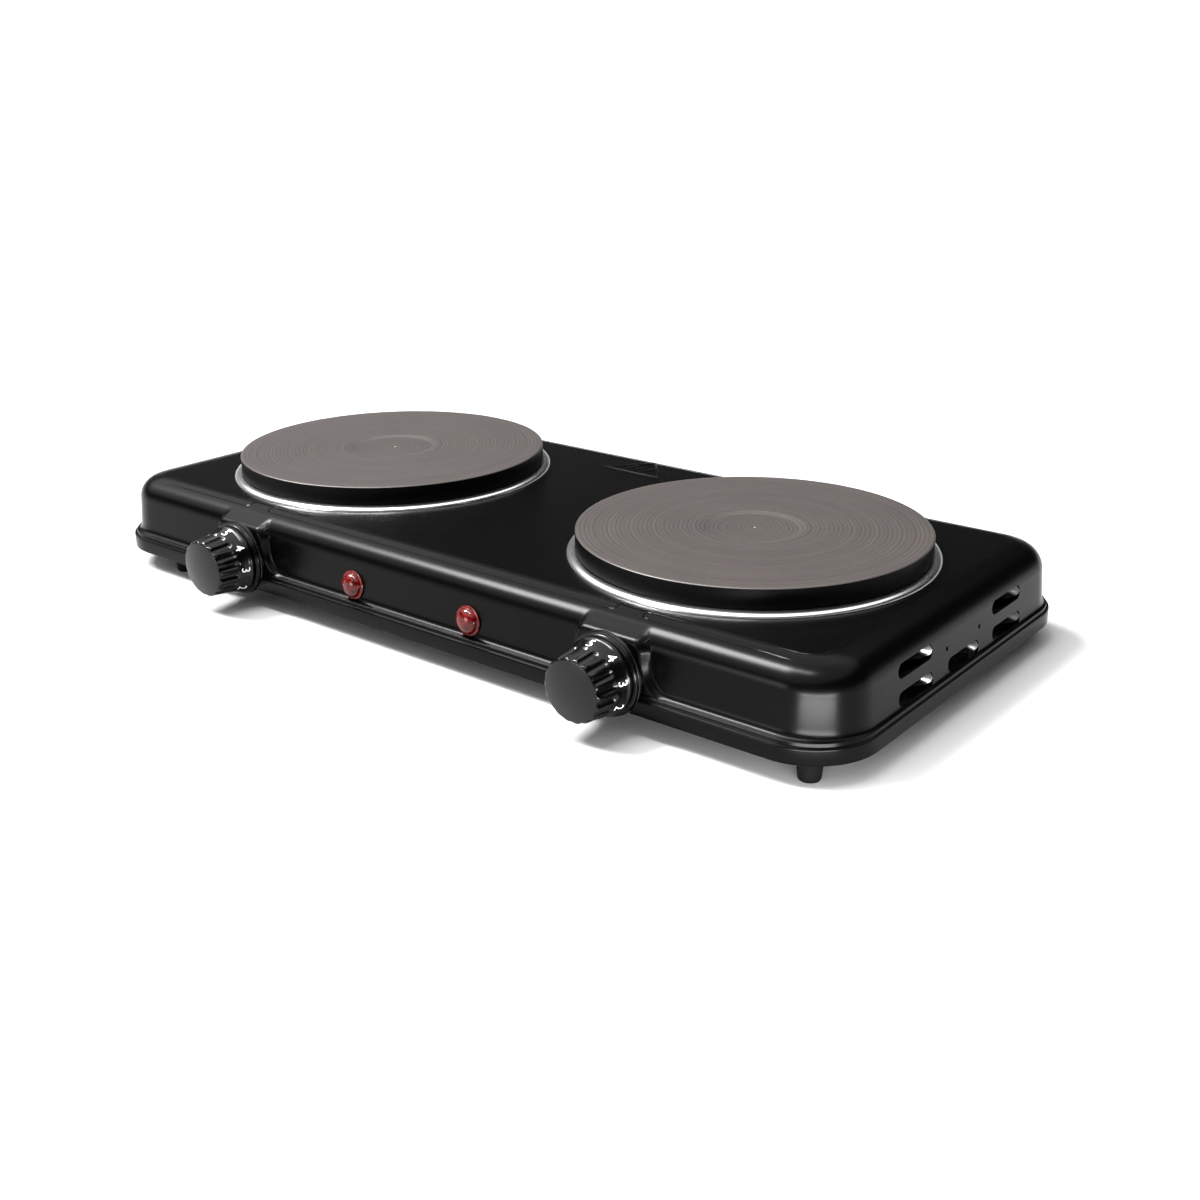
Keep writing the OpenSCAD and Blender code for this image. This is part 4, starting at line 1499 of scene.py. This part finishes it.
    def bezel(self) -> bpy.types.Object:
        """Turn the bezel, with its stepped and grooved edge.

        Returns:
            The fitted bezel.
        """
        outline = [
            (5.0, 0.0), (20.6, 0.0), (20.95, 0.25), (21.0, 0.6), (21.0, 1.5), (20.9, 1.85),
            (20.5, 1.95), (20.3, 2.15), (20.3, 2.4), (20.5, 2.6), (20.55, 3.5), (20.4, 3.8),
            (20.0, 3.88), (19.85, 4.05), (19.85, 4.25), (19.9, 4.4), (19.75, 4.9), (19.4, 5.0),
            (12.0, 5.0), (12.0, 3.0), (5.0, 3.0),
        ]
        name, node = f"dial_bezel_{self.side.word}", f"knob_bezel_{self.side.word}"
        return Bench.turn(name, outline, 160, self.where, PHENOLIC, "phenolic_black", node)

    def build(self) -> None:
        """Build the bezel, the knob and its digits."""
        self.bezel()
        self.handle()
        self.digits()


# ---------------------------------------------------------------- small pieces


@dataclass
class PilotLight:
    """One red indicator lens in the front wall."""

    side: Side
    radius: float = 6.6
    dome: float = 3.4

    def build(self) -> bpy.types.Object:
        """Turn the lens: a collar, a dome and its stem through the wall.

        Returns:
            The fitted lens.
        """
        r = self.radius
        outline = [(3.3, -8.0), (5.6, -8.0), (5.6, 0.15), (7.6, 0.15), (7.95, 0.35), (8.0, 0.6)]
        outline += [(7.8, 0.95), (7.3, 1.1), (6.9, 1.1), (6.65, 1.3)]
        outline += [
            (r * math.cos(math.radians(a)), 1.5 + self.dome * math.sin(math.radians(a)))
            for a in range(0, 90, 9)
        ]
        outline += [(0.0, 4.9), (0.0, 3.0), (3.3, 2.0)]
        lean = math.degrees(math.atan(DRAFT / (WALL_TOP_Z - WALL_FOOT_Z)))
        wall = -CASE_DEPTH / 2 - lean_at(LIGHT_Z)
        where = turned(self.side.value * LIGHT_X, wall, LIGHT_Z, "X", 90 - lean)
        name, node = f"pilot_lens_{self.side.word}", f"indicator_lens_{self.side.word}"
        return Bench.turn(name, outline, 72, where, LENS, "lens_red", node)


@dataclass
class Foot:
    """One moulded rubber foot."""

    node: str
    x: float
    y: float
    radius: float = 6.5
    height: float = 12.0

    def build(self) -> bpy.types.Object:
        """Turn the foot, with its rounded tread and the well for its screw.

        Returns:
            The fitted foot.
        """
        r = self.radius
        outline = [(1.75, 4.0), (3.25, 4.0), (3.25, 0.2), (3.4, 0.0), (4.1, 0.0), (4.75, 0.2)]
        outline += [(5.15, 0.7), (5.35, 1.5), (5.6, 4.0), (6.0, 7.5), (6.2, 8.2), (r - 0.1, 8.6)]
        outline += [(r, 9.0), (r, self.height), (1.75, self.height)]
        where = turned(self.x, self.y, 0)
        name = f"tread_{self.node}"
        return Bench.turn(name, outline, 64, where, RUBBER, "foot_rubber", self.node)


@dataclass
class Gland:
    """The strain-relief gland in the rear wall."""

    radius: float = 7.5
    bore: float = 3.6
    face: float = 118.7
    reach: float = 12.3

    def build(self) -> bpy.types.Object:
        """Turn the gland, with its grip ribs and rounded nose.

        Returns:
            The fitted gland.
        """
        r = self.radius
        outline = [(self.bore, -10.0), (5.5, -10.0), (5.5, 0.0), (8.2, 0.0), (8.5, 0.3), (8.5, 1.7)]
        outline += [(8.2, 2.0), (r, 2.2)]
        for rib in range(4):
            foot = 2.8 + rib * 1.5
            outline += [(r, foot), (r - 0.35, foot + 0.35), (r - 0.35, foot + 0.8), (r, foot + 1.1)]
        outline += [(r - 0.3, 9.4), (r - 0.9, 11.2), (r - 1.6, 12.0), (r - 2.4, self.reach)]
        outline += [(self.bore + 0.5, self.reach), (self.bore, self.reach - 0.5)]
        where = turned(0, self.face, GLAND_Z, "X", -90)
        name, node = "cord_gland_nose", "cord_gland"
        return Bench.turn(name, outline, 72, where, NYLON, "nylon_black", node)


# ---------------------------------------------------------------- studio


@dataclass
class Studio:
    """Pale floor, soft lights and the camera."""

    azimuth: float = 37.15
    elevation: float = 20.92
    eye: Point3 = (513.2, -573.9, 292.1)
    lens: float = 42.25
    shift: Point = (-0.0474, -0.0025)
    floor_grey: str = "#a4a4a4"
    white: float = 1.1

    @staticmethod
    def hang(data: bpy.types.ID) -> bpy.types.Object:
        """Put a camera or a light into the scene, under its own name."""
        item = bpy.data.objects.new(data.name, data)
        bpy.context.scene.collection.objects.link(item)
        return item

    def camera(self) -> None:
        """Place the camera and keep its small shift."""
        turn, tilt = math.radians(self.azimuth), math.radians(self.elevation)
        data = bpy.data.cameras.new("studio_camera")
        data.sensor_width = 36.0
        data.lens = self.lens
        data.shift_x, data.shift_y = self.shift
        data.clip_start = 0.01
        data.clip_end = 60.0
        item = self.hang(data)
        item.location = Vector(self.eye) * MM
        item.rotation_euler = (math.pi / 2 - tilt, 0.0, turn)
        bpy.context.scene.camera = item

    def floor(self) -> None:
        """Lay a wide, pale, matt floor."""
        Bench.clear()
        bpy.ops.mesh.primitive_circle_add(vertices=96, radius=14.0, fill_type="NGON")
        item = Bench.named("studio_floor")
        material = bpy.data.materials.new("pale_floor")
        material.use_nodes = True
        shader = next(n for n in material.node_tree.nodes if n.type == "BSDF_PRINCIPLED")
        shader.inputs["Base Color"].default_value = linear(self.floor_grey)
        shader.inputs["Roughness"].default_value = 0.9
        shader.inputs["Specular IOR Level"].default_value = 0.1
        item.data.materials.append(material)

    def world(self) -> None:
        """Surround the scene with soft light, brightest near the horizon."""
        world = bpy.data.worlds.new("studio_world")
        bpy.context.scene.world = world
        world.use_nodes = True
        tree = world.node_tree
        sky = next(n for n in tree.nodes if n.type == "BACKGROUND")
        way = add_node(tree, "ShaderNodeTexCoord", out="Generated")
        rise = add_node(tree, "ShaderNodeSeparateXYZ", sockets={"Vector": way}, out="Z")
        ramp = tree.nodes.new("ShaderNodeValToRGB")
        # the sine of a direction's height, and how bright the surroundings are there
        elements = ramp.color_ramp.elements
        elements[0].color = (self.white,) * 3 + (1.0,)
        elements[1].color = (0.03,) * 3 + (1.0,)
        for position, level in ((0.05, self.white), (0.09, 0.2), (0.2, 0.05), (0.36, 0.01)):
            elements.new(position).color = (level,) * 3 + (1.0,)
        tree.links.new(rise, ramp.inputs["Fac"])
        # the camera itself sees plain white behind the object, from any side
        direct = add_node(tree, "ShaderNodeLightPath", out="Is Camera Ray")
        seen = add_node(
            tree,
            "ShaderNodeMix",
            {"data_type": "RGBA"},
            {0: direct, 6: ramp.outputs["Color"], 7: (self.white,) * 3 + (1.0,)},
            out=2,
        )
        tree.links.new(seen, sky.inputs["Color"])
        sky.inputs["Strength"].default_value = 1.0

    def lamp(
        self, name: str, towards: Point3, reach: float, size: Point, power: float, along: Point3
    ) -> bpy.types.Object:
        """Hang one soft rectangular light, facing the object.

        Args:
            name: Name of the light.
            towards: Direction from the object to the light.
            reach: Its distance in metres.
            size: Its width and height in metres.
            power: Its power in watts.
            along: The direction that its width runs along.

        Returns:
            The light.
        """
        data = bpy.data.lights.new(name, "AREA")
        data.shape = "RECTANGLE"
        data.size, data.size_y = size
        data.energy = power
        item = self.hang(data)
        back = Vector(towards).normalized()
        wide = (Vector(along) - Vector(along).dot(back) * back).normalized()
        turn = Matrix((wide, back.cross(wide), back)).transposed()
        item.matrix_world = Matrix.Translation(back * reach) @ turn.to_4x4()
        return item

    def panel(self) -> None:
        """Stand a small lit card, which the camera doesn't see, before the front-right corner."""
        card = self.lamp("card", (0.6, -0.8, 0.0), 0.1, (0.13, 0.028), 0.6, (0.8, 0.6, 0.0))
        corner = Vector((0.243, -0.102, 0.015))
        card.location += corner
        card.visible_camera = False

    def sky_lamp(self, name: str, towards: Point3, spread: float, strength: float) -> None:
        """Light the whole scene from one soft patch of sky.

        Args:
            name: Name of the light.
            towards: Direction from the floor to the light.
            spread: Its width in degrees.
            strength: Its strength in watts per square metre.
        """
        data = bpy.data.lights.new(name, "SUN")
        data.angle = math.radians(spread)
        data.energy = strength
        item = self.hang(data)
        item.rotation_euler = Vector(towards).to_track_quat("Z", "Y").to_euler()

    def build(self) -> None:
        """Build the floor, the lights and the camera."""
        self.camera()
        self.floor()
        self.world()
        bpy.context.scene.view_settings.view_transform = "Standard"
        self.sky_lamp("overhead", (-0.2, -0.1, 0.97), 112.0, 3.9)
        self.sky_lamp("key", (-0.56, -0.22, 0.80), 20.0, 9.0)
        self.lamp("corner", (-0.1, -0.27, 0.95), 1.7, (1.1, 0.24), 42.0, (0.98, -0.09, 0.2))
        self.panel()
        self.lamp("front", (-0.26, -0.96, 0.12), 1.3, (0.4, 0.25), 3.5, (0.96, -0.26, 0.0))


def dress_frame_nodes() -> None:
    """Give every CAD piece that still shows its own finish."""
    nodes: dict[str, bpy.types.Object] = frame["nodes"]
    slots = {part["node"]: part["material_slot"] for part in frame["record"]["subparts"]}
    for name, item in nodes.items():
        Bench.coat(item, SLOT_FINISHES[slots[name]])


def main() -> None:
    """Build every sub-assembly in order and report it."""
    logging.basicConfig(level=logging.INFO, format="%(name)s: %(message)s")
    Studio().build()
    dress_frame_nodes()
    Housing().build()
    for side in Side:
        Hob(side).build()
        PilotLight(side).build()
    Dial(Side.LEFT, five_at=79.0).build()
    Dial(Side.RIGHT, five_at=92.0).build()
    for end, y in (("front", -FOOT_Y), ("rear", FOOT_Y)):
        for side, x in FOOT_X.items():
            Foot(f"foot_{end}_{side.word}", x, y).build()
    Gland().build()
    Bench.clear()
    log.info("all pieces built")


if __name__ == "__main__":
    main()
